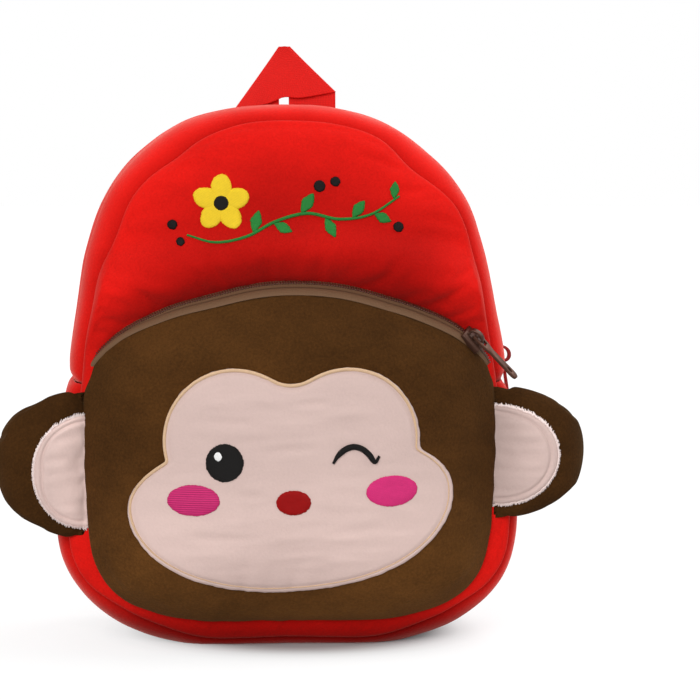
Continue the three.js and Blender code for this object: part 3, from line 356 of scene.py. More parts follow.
class Polar:
    """Outline looked up by angle round a centre, with any other value that goes with it."""

    def __init__(self, points, centre, extra=None):
        points = np.asarray(points, float)
        x, z = points[:, 0] - centre[0], points[:, 1] - centre[1]
        angle = np.arctan2(z, x)
        order = np.argsort(angle)
        self.centre = centre
        self.angles = angle[order]
        self.radii = np.hypot(x, z)[order]
        self.extras = None if extra is None else np.asarray(extra)[order]

    def radius(self, angle):
        return np.interp(angle, self.angles, self.radii, period=TURN)

    def extra(self, angle):
        return np.interp(angle, self.angles, self.extras, period=TURN)

    def part(self, x, z):
        x, z = x - self.centre[0], z - self.centre[1]
        return np.hypot(x, z) / self.radius(np.arctan2(z, x))

    def point(self, part, angle):
        reach = part * self.radius(angle)
        return self.centre[0] + reach * np.cos(angle), self.centre[1] + reach * np.sin(angle)


def smoothstep(value, low, high):
    step = np.clip((value - low) / (high - low), 0, 1)
    return step * step * (3 - 2 * step)


def mix(first, second, part):
    return first + (second - first) * part


def span(start, end, place):
    """Value between start and end at a place on a grid that runs from -1 to 1."""
    return mix(start, end, (place + 1) / 2)


def bell(value, middle, spread):
    """Rise along one line: 1 in its middle, fading on either side."""
    return np.exp(-(((value - middle) / spread) ** 2))


def mound(x, z, middle_x, middle_z, spread):
    """Round rise of the front view: 1 in its middle, fading outward."""
    return np.exp(-((x - middle_x) ** 2 + (z - middle_z) ** 2) / spread**2)


def rounded(rise, distance, reach):
    """Rise beside a seam, fullest at that reach from it."""
    return rise * distance / reach * np.exp(1 - distance / reach)


def stack(*values):
    return np.stack(values, axis=1)


def standing(x, z):
    """Points or directions of the front view, upright in space."""
    return stack(x, np.zeros_like(x), z)


def direction(ways):
    """Ways with a length of one."""
    return ways / np.linalg.norm(ways, axis=-1, keepdims=True)


def disc(across, up):
    """Distance from the middle and angle of a square grid's points drawn into a round one."""
    x = across * np.sqrt(1 - up**2 / 2)
    z = up * np.sqrt(1 - across**2 / 2)
    return np.minimum(np.hypot(x, z), 1), np.arctan2(z, x)


def crowd(part):
    """Moves rings towards the edge, where seams need them."""
    return 0.5 * part + 0.5 * np.sin(part * math.pi / 2)


def lumps(points, size, seed):
    """Smooth noise from -1 to 1 with lumps of that size."""
    shift = Vector((seed * 17.3, seed * 5.1, seed * 9.7))
    return np.array([noise.noise(Vector(point) / size + shift) for point in points])


def line_lumps(distance, size, seed):
    """Smooth noise from -1 to 1 along a line."""
    return np.array([noise.noise(Vector((d / size, seed * 7.7, seed * 3.1))) for d in distance])


def gathers(distance, seed):
    """Uneven gathers along a seam, from about -1 to 1."""
    return 0.7 * line_lumps(distance, 9, seed) + 0.5 * line_lumps(distance, 4.5, seed + 1)


# Surfaces of the bag

BODY = outline(BODY_OUTLINE)
SIDE_PLACE = place_at_height(BODY, SIDE_SEAM_HEIGHT)
POCKET = outline(POCKET_OUTLINE)


def gusset_inset(x, z, depth):
    """How far the gusset lies inside the body's widest line; the seams pull it in."""
    at_front = np.maximum(1 - 2 * depth, 0)
    inset = mix(BASE_INSET, SIDE_INSET, smoothstep(z, 0, 60))
    inset = mix(inset, TOP_INSET, smoothstep(z, 175, 240))
    inset = inset + CORNER_TUCK * (bell(z, 8, 14) * smoothstep(np.abs(x), 30, 65)) * at_front
    inset = inset + SHOULDER_TUCK * bell(z, 214, 15)
    wander = line_lumps(x + 2.1 * z, 60, 11) * smoothstep(z, 100, 140)
    inset = inset + SEAM_WANDER * wander * at_front
    drawn = FRONT_DRAW * smoothstep(z, 60, 120)
    for side, height, spread, deep in SEAM_TUCKS:
        drawn = drawn + deep * bell(z, height, spread) * smoothstep(x * side, 0, 40)
    inset = inset + drawn * at_front
    across = np.abs(2 * depth - 1)
    crown = TOP_CROWN * smoothstep(z, 185, 228) * (1 - across**4)
    folds = np.zeros_like(z)
    for side, height, reach, place, spread, dent in GUSSET_FOLDS:
        dip = dent * np.exp(-(((z - height) / reach) ** 2) - ((depth - place) / spread) ** 2)
        folds += np.where(np.sign(x) == side, dip, 0)
    return inset * across**3 + folds * (1 - across**6) - crown


def gusset_point(place, depth, below=0.0):
    """Point of the gusset and its outward direction; depth runs from the front seam to the back seam."""
    ridge = BODY.at(place)
    flat_out = BODY.outward(place)
    inset = gusset_inset(ridge[:, 0], ridge[:, 1], depth) + below
    x = ridge[:, 0] - flat_out[:, 0] * inset + TOP_LEAN * smoothstep(ridge[:, 1], 135, 222)
    z = ridge[:, 1] - flat_out[:, 1] * inset
    y = FRONT_SEAM_Y + BODY_DEPTH * depth
    return stack(x, y, z), standing(*flat_out.T)


def seam_shape(depth):
    """Outline of the gusset at that depth, round the panel's centre."""
    places = np.linspace(0, 1, 1200, endpoint=False)
    points, _ = gusset_point(places, np.full_like(places, depth))
    return Polar(points[:, [0, 2]], PANEL_CENTRE)


FRONT_SEAM = seam_shape(0.0)
BACK_SEAM = seam_shape(1.0)


def front_y(x, z):
    """How far back the front panel's plain dome lies."""
    return FRONT_SEAM_Y - FRONT_DOME * (1 - np.minimum(FRONT_SEAM.part(x, z), 1) ** 3)


def pocket_line(place):
    """Seam and zip line of the pocket; the zip sags, most of all left of the middle."""
    x, z = POCKET.at(place).T
    sag = POCKET_SAG * (1 + 0.5 * bell(x, -32, 18) - 0.7 * smoothstep(x, 40, 75))
    return stack(x, z - sag * smoothstep(z, 112, 140))


POCKET_LINE = Polar(pocket_line(np.linspace(0, 1, 1200, endpoint=False)), POCKET_CENTRE)


def pocket_rim(place):
    """Seam or zip line of the pocket, its outward direction, and the pocket's own edge."""
    line = pocket_line(place)
    outward = POCKET.outward(place)
    opening = np.where(line[:, 0] < 0, smoothstep(line[:, 1], 120, 165), smoothstep(line[:, 1], 120, 150))
    rim = line - outward * ((POCKET_ZIP_BAND - POCKET_HEM) * opening)[:, None]
    rim_y = front_y(rim[:, 0], rim[:, 1]) - POCKET_RIM_STANDOFF - POCKET_ZIP_STANDOFF * opening
    return line, outward, rim, rim_y


def pocket_edge():
    """The pocket's own edge by angle, with how far back it lies."""
    places = np.linspace(0, 1, 1000, endpoint=False)
    _, _, rim, rim_y = pocket_rim(places)
    return Polar(rim, POCKET_CENTRE, rim_y)


POCKET_EDGE = pocket_edge()


def pocket_zip(place):
    """Outer and inner edge of the pocket zip's tape, with the directions across, along and off it."""
    line, outward, rim, rim_y = pocket_rim(place)
    outer = line + outward
    inner = rim - outward * 0.2
    outer = stack(outer[:, 0], front_y(outer[:, 0], outer[:, 1]) - 1.5, outer[:, 1])
    inner = stack(inner[:, 0], rim_y + 0.5, inner[:, 1])
    across = direction(inner - outer)
    along = standing(*POCKET.along(place).T)
    normal = direction(np.cross(across, along))
    normal *= -np.sign(normal[:, 1:2])
    return outer, inner, across, along, normal


def ear_heading(along):
    """Way an ear runs in plan, which curls back towards its tip."""
    part = np.clip(along / EAR_LENGTH, 0, 1)
    return np.radians(EAR_FIRST_TURN - EAR_CURL * part**1.5)


def ear_middle(step=0.5):
    """Places along an ear's middle surface in plan, with the x and y of each."""
    places = np.arange(-6, EAR_LENGTH + 4, step)
    heading = ear_heading(places[:-1] + step / 2)
    x = np.concatenate([[0], np.cumsum(step * np.cos(heading))])
    y = np.concatenate([[0], np.cumsum(-step * np.sin(heading))])
    return places, x + EAR_ROOT[0] - np.interp(0, places, x), y + EAR_ROOT[1] - np.interp(0, places, y)


EAR_MIDDLE = ear_middle()


def ear_point(ear, along, up, lift):
    """Point off the ear's middle surface, which curls in plan and stands upright."""
    places, x, y = EAR_MIDDLE
    heading = ear_heading(along)
    x = np.interp(along, places, x) - lift * np.sin(heading)
    y = np.interp(along, places, y) - lift * np.cos(heading)
    return stack(ear.side * x, y, ear.height + up)


def ear_outline(ear):
    root = [(0, -part) for part in np.linspace(1, -1, 40)]
    angles = np.linspace(-math.pi / 2, math.pi / 2, 160)[1:-1]
    edge = [(math.cos(a) ** 0.92, math.sin(a)) for a in angles]
    along, rise = np.array(root[::-1] + edge).T
    along = along * (ear.reach + EAR_TUCK) - EAR_TUCK
    rise = rise * ear.half_height * mix(EAR_ROOT_PINCH, 1, smoothstep(along, -EAR_TUCK, 9))
    return Polar(stack(along, rise), EAR_CENTRE)


def patch_outline(ear):
    rise, half = ear.patch_rise, ear.patch_half
    root = [(PATCH_START, rise + part * half * 0.97) for part in np.linspace(1, -1, 30)]
    angles = np.linspace(-math.pi / 2, math.pi / 2, 120)[1:-1]
    reach = ear.patch_end - PATCH_START
    edge = [(PATCH_START + reach * math.cos(a) ** 0.76, rise + half * math.sin(a)) for a in angles]
    return Polar(root + edge, (PATCH_CENTRE, rise))


def face_shape():
    angles = np.linspace(-math.pi, math.pi, 720, endpoint=False)
    cos, sin = np.cos(angles), np.sin(angles)
    total = np.zeros_like(angles)
    for x, z, half, above, below, tilt in FACE_LOBES:
        level = np.array([math.cos(math.radians(tilt)), math.sin(math.radians(tilt))])
        upright = np.array([-level[1], level[0]])
        start = np.array(FACE_CENTRE, float) - (x, z)
        way = stack(cos, sin)
        reaches = []
        for high in (above, below):
            start_x, start_z = start @ level / half, start @ upright / high
            dx, dz = way @ level / half, way @ upright / high
            a, b = dx * dx + dz * dz, start_x * dx + start_z * dz
            c = start_x**2 + start_z**2 - 1
            reaches.append((-b + np.sqrt(b * b - a * c)) / a)
        over = start @ upright + reaches[0] * (way @ upright) >= 0
        total += np.where(over, reaches[0], reaches[1]) ** FACE_BLEND
    reach = total ** (1 / FACE_BLEND)
    spread = bell(np.arange(-FACE_EASE, FACE_EASE + 1), 0, 13)
    ring = np.concatenate([reach[-FACE_EASE:], reach, reach[:FACE_EASE]])
    eased = np.convolve(ring, spread / spread.sum(), "valid")
    reach = mix(reach, eased, bell(angles, math.pi / 2, 0.42))
    points = stack(FACE_CENTRE[0] + reach * cos, FACE_CENTRE[1] + reach * sin)
    return Polar(points, FACE_CENTRE)


FACE = face_shape()


# Meshes


def clear_selection():
    if bpy.context.object and bpy.context.object.mode != "OBJECT":
        bpy.ops.object.mode_set(mode="OBJECT")
    bpy.ops.object.select_all(action="DESELECT")


def choose(piece):
    clear_selection()
    piece.select_set(True)
    bpy.context.view_layer.objects.active = piece


def points_of(piece):
    values = np.empty(len(piece.data.vertices) * 3)
    piece.data.vertices.foreach_get("co", values)
    return values.reshape(-1, 3)


def set_points(piece, points):
    """Moves a piece's points to these places in millimetres."""
    piece.data.vertices.foreach_set("co", (np.asarray(points, float) * MM).ravel())
    piece.data.update()


def named(name):
    piece = bpy.context.object
    piece.name = name
    piece.data.name = name
    return piece


def add_object(name, data):
    made = bpy.data.objects.new(name, data)
    bpy.context.collection.objects.link(made)
    return made


def join(first, *others):
    """Joins pieces into the first."""
    choose(first)
    for piece in others:
        piece.select_set(True)
    bpy.ops.object.join()
    return first


def cloth_grid(name, columns, rows, place):
    """Grid whose points go where place(across, up) says, each running from -1 to 1."""
    clear_selection()
    bpy.ops.mesh.primitive_grid_add(x_subdivisions=columns, y_subdivisions=rows, size=2)
    piece = named(name)
    flat = points_of(piece)
    set_points(piece, place(flat[:, 0], flat[:, 1]))
    return piece


def change(piece, kind, **settings):
    """Adds a modifier and applies it."""
    modifier = piece.modifiers.new(kind.title(), kind)
    for name, value in settings.items():
        setattr(modifier, name, value)
    choose(piece)
    bpy.ops.object.modifier_apply(modifier=modifier.name)


def edit_all(piece, operator, **settings):
    """Runs one mesh operator on the whole of a piece."""
    choose(piece)
    bpy.ops.object.mode_set(mode="EDIT")
    bpy.ops.mesh.select_all(action="SELECT")
    operator(**settings)
    bpy.ops.object.mode_set(mode="OBJECT")


def face_out(piece):
    edit_all(piece, bpy.ops.mesh.normals_make_consistent, inside=False)


def soften(piece, rounds):
    edit_all(piece, bpy.ops.mesh.vertices_smooth, factor=0.5, repeat=rounds)


def round_edges(piece, width, segments=2, angle=60):
    """Rounds the edges that turn by more than that angle in degrees."""
    limit = math.radians(angle)
    change(piece, "BEVEL", width=width * MM, segments=segments, limit_method="ANGLE", angle_limit=limit)


def thicken(piece, thickness, offset=-1.0):
    change(piece, "SOLIDIFY", thickness=thickness, offset=offset, use_even_offset=False)


SETTLE_FRAMES = 20
SETTLE_PRESSURE = 40


def settle(piece, held, growth, cap):
    """Cloth simulation: the piece swells and creases between the points that hold it, up to the cap in mm."""
    before = points_of(piece)
    group = piece.vertex_groups.new(name="held")
    group.add(np.nonzero(held)[0].tolist(), 1.0, "REPLACE")
    modifier = piece.modifiers.new("Settle", "CLOTH")
    cloth = modifier.settings
    cloth.quality = 5
    cloth.mass = 0.01
    cloth.tension_stiffness = cloth.compression_stiffness = 5
    cloth.shear_stiffness = 1.7
    cloth.bending_stiffness = 0.05
    cloth.vertex_group_mass = "held"
    cloth.use_pressure = True
    cloth.uniform_pressure_force = SETTLE_PRESSURE
    cloth.shrink_min = -growth
    cloth.effector_weights.gravity = 0
    modifier.collision_settings.use_collision = False
    modifier.point_cache.frame_end = SETTLE_FRAMES
    scene = bpy.context.scene
    for number in range(1, SETTLE_FRAMES + 1):
        scene.frame_set(number)
    choose(piece)
    bpy.ops.object.modifier_apply(modifier=modifier.name)
    scene.frame_set(1)
    piece.vertex_groups.clear()
    move = (points_of(piece) - before) / MM
    far = np.maximum(np.linalg.norm(move, axis=1, keepdims=True), 1e-6)
    set_points(piece, before / MM + move * (cap * np.tanh(far / cap) / far))


def smooth(piece, angle=None):
    choose(piece)
    if angle is None:
        bpy.ops.object.shade_smooth()
    else:
        bpy.ops.object.shade_smooth_by_angle(angle=math.radians(angle))


def scale_map(piece, across, along):
    """Makes the piece's UV map read in metres."""
    layer = piece.data.uv_layers.active.data
    values = np.empty(len(layer) * 2)
    layer.foreach_get("uv", values)
    values = values.reshape(-1, 2) * (across, along)
    layer.foreach_set("uv", values.ravel())


def place_piece(piece, look, slot=None, nodes=(), body="bag"):
    """Gives a finished piece the material of that name and its place in the frame."""
    piece.data.materials.clear()
    piece.data.materials.append(finish(look))
    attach(piece, body)
    if nodes:
        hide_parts(*nodes)


def refined_copy(node, name, width, segments=2):
    """Copy of a hard CAD piece with its edges rounded."""
    source = frame["nodes"][node]
    clear_selection()
    bpy.ops.mesh.primitive_plane_add(size=MM)
    piece = named(name)
    piece.data = source.data.copy()
    piece.data.name = name
    edit_all(piece, bpy.ops.mesh.remove_doubles, threshold=1e-6)
    edit_all(piece, bpy.ops.mesh.dissolve_limited, angle_limit=math.radians(1))
    round_edges(piece, width, segments, 40)
    smooth(piece, 50)
    return piece


def tube(name, points, radii, closed=False):
    """Thread or cord along a row of points, as a mesh."""
    clear_selection()
    data = bpy.data.curves.new(name, "CURVE")
    data.dimensions = "3D"
    data.bevel_depth = MM
    data.bevel_resolution = 2
    data.use_fill_caps = not closed
    spline = data.splines.new("POLY")
    spline.points.add(len(points) - 1)
    flat = np.column_stack([np.asarray(points) * MM, np.ones(len(points))])
    spline.points.foreach_set("co", flat.ravel())
    spline.points.foreach_set("radius", np.broadcast_to(radii, len(points)).astype(float))
    spline.use_cyclic_u = closed
    choose(add_object(name, data))
    bpy.ops.object.convert(target="MESH")
    piece = named(name)
    smooth(piece)
    return piece


class Ground:
    """Finished piece that other pieces are laid on."""

    def __init__(self, piece):
        self.tree = BVHTree.FromObject(piece, bpy.context.evaluated_depsgraph_get())

    def hit(self, start, way):
        """Place in metres where a ray meets the surface, if it does."""
        return self.tree.ray_cast(Vector(start) * MM, Vector(way))[0]

    def front(self, x, z):
        """How far back the surface lies, seen from the front."""
        found = []
        for across, up in zip(x, z):
            place = self.hit((across, -400, up), (0, 1, 0))
            if place is None:
                raise RuntimeError(f"nothing to lie on at {across:.1f}, {up:.1f}")
            found.append(place.y / MM)
        return np.array(found)


def laid_thread(name, ground, line, radii, lift, closed=False):
    """Thread along a line of the front view, lifted off the ground."""
    x, z = line.T
    return tube(name, stack(x, ground.front(x, z) - lift, z), radii, closed)


# Finishes


class Socket:
    """Output of a shader node; sums and products of it add Math nodes."""

    def __init__(self, finish, output):
        self.finish = finish
        self.output = output

    def _math(self, operation, first, second):
        return self.finish.node("ShaderNodeMath", {"operation": operation}, {0: first, 1: second})

    def __add__(self, other):
        return self._math("ADD", self, other)

    def __radd__(self, other):
        return self._math("ADD", other, self)

    def __mul__(self, other):
        return self._math("MULTIPLY", self, other)

    def __rmul__(self, other):
        return self._math("MULTIPLY", other, self)


class Finish:
    """Material, or a world, built from nodes."""

    def __init__(self, name, owner=None):
        self.owner = owner or bpy.data.materials.new(name)
        self.owner.use_nodes = True
        self.tree = self.owner.node_tree
        self.tree.nodes.clear()

    def node(self, kind, settings=None, inputs=None, out=0):
        made = self.tree.nodes.new(kind)
        for name, value in (settings or {}).items():
            if name == "stops":
                self.set_stops(made.color_ramp, value)
            else:
                setattr(made, name, value)
        for name, value in (inputs or {}).items():
            if isinstance(value, Socket):
                self.tree.links.new(value.output, made.inputs[name])
            else:
                made.inputs[name].default_value = value
        return Socket(self, made.outputs[out]) if len(made.outputs) else None

    @staticmethod
    def set_stops(ramp, stops):
        for _ in range(len(stops) - 2):
            ramp.elements.new(0.5)
        for element, (place, tint) in zip(ramp.elements, stops):
            element.position = place
            element.color = (*tint, 1)

    def where(self, source="Object"):
        return self.node("ShaderNodeTexCoord", out=source)

    def pressed(self):
        """How much painted shade is marked on each of the piece's points."""
        return self.node("ShaderNodeAttribute", {"attribute_name": SHADE_MARK}, out="Fac")

    def vector(self, operation, *values, out=0):
        return self.node("ShaderNodeVectorMath", {"operation": operation}, dict(enumerate(values)), out)

    def turn(self, where, angles, scale=(1, 1, 1)):
        return self.node("ShaderNodeMapping", None, {"Vector": where, "Rotation": angles, "Scale": scale})

    def clouds(self, where, scale, detail=2.0, roughness=0.5):
        return self.node(
            "ShaderNodeTexNoise", None,
            {"Vector": where, "Scale": scale, "Detail": detail, "Roughness": roughness},
        )

    def stripes(self, where, scale, way="X", distortion=0.0):
        return self.node(
            "ShaderNodeTexWave", {"wave_type": "BANDS", "bands_direction": way, "wave_profile": "SIN"},
            {"Vector": where, "Scale": scale, "Distortion": distortion, "Detail": 1.0},
        )

    def ramp(self, value, stops):
        return self.node("ShaderNodeValToRGB", {"stops": stops}, {0: value})

    def tones(self, value, tint, places, dark, light):
        """Ramp from a darker to a lighter tone of a colour, through the colour itself."""
        return self.ramp(value, list(zip(places, (tinted(tint, dark), tint, tinted(tint, light)))))

    def blend(self, part, first, second):
        return self.node("ShaderNodeMix", {"data_type": "RGBA"}, {0: part, 6: first, 7: second}, out=2)

    def done(self, tint, roughness, height=None, lift=0.0, strength=1.0, over=None, **fixed):
        """Finishes the material with one surface shader, or with what is laid over it."""
        inputs = {"Base Color": tint, "Roughness": roughness}
        for name, value in fixed.items():
            inputs[name.replace("_", " ").title().replace("Ior", "IOR")] = value
        if height is not None:
            inputs["Normal"] = self.node(
                "ShaderNodeBump", None, {"Height": height, "Distance": lift * MM, "Strength": strength}
            )
        shader = self.node("ShaderNodeBsdfPrincipled", None, inputs)
        self.node("ShaderNodeOutputMaterial", None, {"Surface": over(shader) if over else shader})
        return self.owner


def tinted(tint, factor, towards=None, part=0.0):
    """Colour made lighter or darker, and mixed towards another."""
    towards = tint if towards is None else towards
    return tuple(min(1, max(0, mix(c, t, part) * factor)) for c, t in zip(tint, towards))


def plush(name, tint, sheen, sheen_tint, light, dark, pile=0.4, pressed=None):
    """Short-pile plush: patches brushed both ways, soft strokes, fine tufts, a sheen, and painted light and
    shade blended in where its points are marked.
    """
    cloth = Finish(name)
    where = cloth.where()
    brushed = cloth.clouds(where, 13, 2, 0.5)
    strokes = cloth.clouds(cloth.turn(where, (0.3, 0.5, 0.2), (46, 46, 80)), 1.0, 3, 0.6)
    tufts = cloth.clouds(where, 900, 2, 0.6)
    tone = brushed * 0.36 + strokes * 0.3 + tufts * 0.34
    places = (0.36, 0.5, 0.64)
    shade = cloth.tones(tone, tint, places, dark, light)
    if pressed:
        shade = cloth.blend(cloth.pressed(), shade, cloth.tones(tone, pressed, places, dark, light))
    height = tufts * 0.75 + strokes * 0.25
    return cloth.done(
        shade, 0.95, height, pile, 0.6, sheen_weight=sheen, sheen_roughness=0.4,
        sheen_tint=(*sheen_tint, 1), specular_ior_level=0.06,
    )


def woven(name, tint, pitch, contrast=0.8, lift=0.2):
    """Webbing or tape: ribs across and along its length, read from the UV map in metres."""
    cloth = Finish(name)
    where = cloth.where("UV")
    ribs = cloth.stripes(where, math.pi / (10 * pitch * MM), "Y")
    cords = cloth.stripes(where, math.pi / (14 * pitch * MM), "X")
    wear = cloth.clouds(cloth.where(), 60, 3)
    weave = ribs * 0.5 + cords * 0.5
    shade = cloth.tones(weave * 0.6 + wear * 0.4, tint, (0.2, 0.55, 0.85), contrast, 1.08)
    # Painted shadow: blends towards near black where the piece's points are marked with painted shade
    shade = cloth.blend(cloth.pressed(), shade, (*tinted(tint, 0.1), 1))
    return cloth.done(shade, 0.66, weave, lift, 0.7, specular_ior_level=0.16)


def satin(name, tint, angle=0.0, pitch=0.45):
    """Satin stitch: fine threads laid side by side in one direction."""
    thread = Finish(name)
    where = thread.turn(thread.where(), (0, math.radians(angle), 0))
    rows = thread.stripes(where, math.pi / (10 * pitch * MM), "Z", 0.6)
    fuzz = thread.clouds(thread.where(), 500, 2)
    shade = thread.tones(rows * 0.7 + fuzz * 0.3, tint, (0.15, 0.55, 0.9), 0.7, 1.16)
    return thread.done(shade, 0.58, rows * 0.8 + fuzz * 0.2, 0.16, 0.8, specular_ior_level=0.14)


def enamel(name, tint, metallic, roughness):
    """Hard zip or buckle finish with fine handling marks."""
    hard = Finish(name)
    where = hard.where()
    marks = hard.clouds(where, 900, 3, 0.6)
    wear = hard.clouds(where, 160, 4, 0.6)
    shade = hard.tones(wear, tint, (0.3, 0.55, 0.75), 0.8, 1.15)
    return hard.done(shade, marks * 0.25 + (roughness - 0.12), marks, 0.05, 0.4, metallic=metallic)


def finish_rows():
    """Maker of each finish and what it is given after the name."""
    tints = bpy.context.scene.bag_colours

    def tint(key, factor=1.0, *more):
        return tinted(tuple(getattr(tints, key)), factor, *more)

    # Deeper tints that the marked painted shade blends each plush towards
    deep_red = tuple(channel * share for channel, share in zip(tints.red, DEEP_RED))
    deep_brown = tint("brown", BROWN_TONES[1])
    deep_pink = tint("pink", PINK_TONES[1])
    white = (1, 1, 1)
    return {
        "red_plush": (plush, tint("red", RED_TONES[0]), 0.3, (1.0, 0.28, 0.23), 1.12, 0.84, 0.4, deep_red),
        # Lighter copy of the red plush with more sheen: painted light on the gusset
        "gusset_plush": (plush, tint("red", 1.17), 0.6, (1.0, 0.36, 0.31), 1.1, 0.86, 0.4, deep_red),
        "brown_plush": (
            plush, tint("brown", BROWN_TONES[0]), 0.14, (0.55, 0.36, 0.18), 1.42, 0.66, 0.55, deep_brown
        ),
        # Darker copy of the brown plush with less sheen: painted shade on the ears
        "ear_plush": (plush, tint("brown", 0.57), 0.1, (0.5, 0.33, 0.16), 1.4, 0.68, 0.55),
        "pink_plush": (
            plush, tint("pink", PINK_TONES[0]), 0.12, (1.0, 0.95, 0.92), 1.04, 0.95, 0.22, deep_pink
        ),
        "pale_fibre": (plush, tint("pink", 1.08, white, 0.32), 0.1, white, 1.03, 0.97, 0.1),
        "red_webbing": (woven, tint("webbing"), 0.9, 0.9, 0.12),
        "red_zip_tape": (woven, tint("zip_red"), 0.7),
        "brown_zip_tape": (woven, tint("zip_brown"), 0.5, 0.86, 0.08),
        "red_zip_coil": (enamel, tint("zip_red", 0.8), 0, 0.4),
        "brown_zip_coil": (enamel, tint("coil_brown"), 0, 0.4),
        "bronze_metal": (enamel, tint("bronze"), 0.6, 0.42),
        "main_slider": (enamel, tint("zip_red", 1.1), 0.2, 0.36),
        "pocket_slider": (enamel, tint("bronze", 0.7), 0.6, 0.42),
        "red_zip_metal": (enamel, tint("zip_red", 1.3), 0.2, 0.36),
        "red_buckle": (enamel, tint("webbing"), 0, 0.42),
        "black_thread": (satin, tint("black"), 20),
        "magenta_thread": (satin, tint("magenta", 0.95), 0, 0.95),
        "smooth_magenta_thread": (satin, tint("magenta", 1.22), 65),
        "red_thread": (satin, tint("nose"), 80),
        "tan_thread": (satin, tint("tan"), 40),
        "white_thread": (satin, (0.85, 0.85, 0.84), 30),
        "green_thread": (satin, tint("green"), 35),
        "yellow_thread": (satin, tint("yellow"), 50),
    }


FINISHES = {}


def finish(name):
    """Material of that name, made when it is first asked for."""
    if name not in FINISHES:
        maker, *values = finish_rows()[name]
        FINISHES[name] = maker(name, *values)
    return FINISHES[name]


# Walls

# Rise of the front panel's bulge over the pocket's zip
ZIP_BULGE = 9.6
# Soft bumps of the front panel: x, height, spread and rise
PANEL_BUMPS = [(-90, 124, 8, 3.2), (91, 125, 8, 2.8), (-50, 200, 26, 1.2), (34, 212, 24, 1.0)]
# Creases of the front panel: two ends, width and depth
PANEL_CREASES = [
    (-9, 169, -14, 186, 2.4, 0.8), (12, 168, 13, 184, 2.2, 0.7), (-31, 165, -40, 181, 2.4, 0.8),
    (40, 162, 47, 178, 2.4, 0.8), (-60, 151, -72, 166, 2.4, 0.9), (64, 150, 74, 164, 2.4, 0.9),
    (44, 229, 66, 203, 2.8, 0.8), (-40, 230, -64, 206, 2.8, 0.7), (-84, 150, -88, 182, 2.6, 0.9),
]


def creases(x, z, rows):
    """Dips along straight lines, with a soft ridge on either side."""
    total = np.zeros_like(x)
    for x0, z0, x1, z1, wide, deep in rows:
        dx, dz = x1 - x0, z1 - z0
        long = math.hypot(dx, dz)
        along = ((x - x0) * dx + (z - z0) * dz) / long
        off = np.abs((z - z0) * dx - (x - x0) * dz) / long
        body = smoothstep(along, 0, long * 0.4) * (1 - smoothstep(along, long * 0.6, long))
        total += deep * body * (0.6 * bell(off, 2 * wide, wide) - bell(off, 0, wide))
    return total


def off_pocket(x, z):
    """About how far in millimetres a place of the front panel lies outside the pocket's line."""
    return (POCKET_LINE.part(x, z) - 1) * 85


def front_shaping(x, z, seed):
    """How the front panel bulges over the pocket's zip, with its bumps and creases."""
    off_zip = off_pocket(x, z)
    over = smoothstep(z, 118, 145)
    swell = ZIP_BULGE * over * bell(off_zip, 16, 10)
    swell += 0.6 * over * line_lumps(x, 7, seed + 8) * np.exp(-np.maximum(off_zip, 0) / 9)
    for *place, rise in PANEL_BUMPS:
        swell += rise * mound(x, z, *place)
    return swell + creases(x, z, PANEL_CREASES)


# Patches of painted light and painted shade on the front panel, lighter where the change is above zero: x,
# height, spread and change in brightness
PANEL_PAINTED_PATCHES = [(58, 176, 24, -0.2), (14, 176, 15, 0.18), (-8, 200, 20, -0.08)]


def paint_shading(piece, bright, tones=RED_TONES):
    """Marks painted light and shade on a piece's points, from its painted brightness and its finish's
    brightest and deepest.
    """
    most, least = tones
    mark = piece.data.attributes.new(SHADE_MARK, "FLOAT", "POINT")
    mark.data.foreach_set("value", np.clip((most - bright) / (most - least), 0, 1))


def base_shade(z):
    """Share of its brightness that the plush keeps near the floor."""
    return mix(0.4, 1, smoothstep(z, 3, 26))


def panel_painted_shading(x, z, seam, side):
    """Painted brightness of a panel's plush: painted light at its seam, painted shade further in, under the
    bulge by the zip and near the floor.
    """
    from_seam = (1 - np.minimum(seam.part(x, z), 1)) * 100
    bright = 1.08 - 0.38 * smoothstep(from_seam, 0, 40)
    if side < 0:
        off_zip = np.maximum(off_pocket(x, z), 0)
        bright *= 1 - 0.35 * smoothstep(z, 112, 140) * np.exp(-off_zip / 10)
        for *place, gain in PANEL_PAINTED_PATCHES:
            bright *= 1 + gain * mound(x, z, *place)
    return bright * base_shade(z)


def panel_place(seam, seam_y, side, dome, sizes, seed):
    """Place function of a domed panel; side is -1 for the front and 1 for the back."""
    deep, wide = sizes.seam_depth / MM, sizes.seam_width / MM

    def place(across, up):
        part, angle = disc(across, up)
        if side > 0:
            angle = math.pi - angle
        part = crowd(part)
        reach = seam.radius(angle)
        x, z = seam.point(part, angle)
        from_seam = (1 - part) * reach
        y = seam_y + side * dome * (1 - part**3)
        free = smoothstep(POCKET_LINE.part(x, z), 1.05, 1.3) if side < 0 else np.ones_like(x)
        swell = rounded(1.6, from_seam, SEAM_SWELL)
        swell += sizes.pucker / MM * gathers(angle * reach, seed) * np.exp(-from_seam / GATHER_REACH)
        spots = standing(x, z)
        swell += sizes.lumps / MM * free * (lumps(spots, 46, seed) + 0.4 * lumps(spots, 19, seed + 3))
        if side < 0:
            swell += front_shaping(x, z, seed) * smoothstep(from_seam, 0, 6)
        roll = deep * np.exp(-from_seam / wide)
        overhang = rounded(PANEL_OVERHANG, from_seam, 4) if side < 0 else 0
        x = x + (overhang - SEAM_IN * roll) * np.cos(angle)
        z = z + (overhang - SEAM_IN * roll) * np.sin(angle)
        y = y + side * (swell - SEAM_BACK * roll)
        return stack(x, y, np.maximum(z, 0.4))

    return place


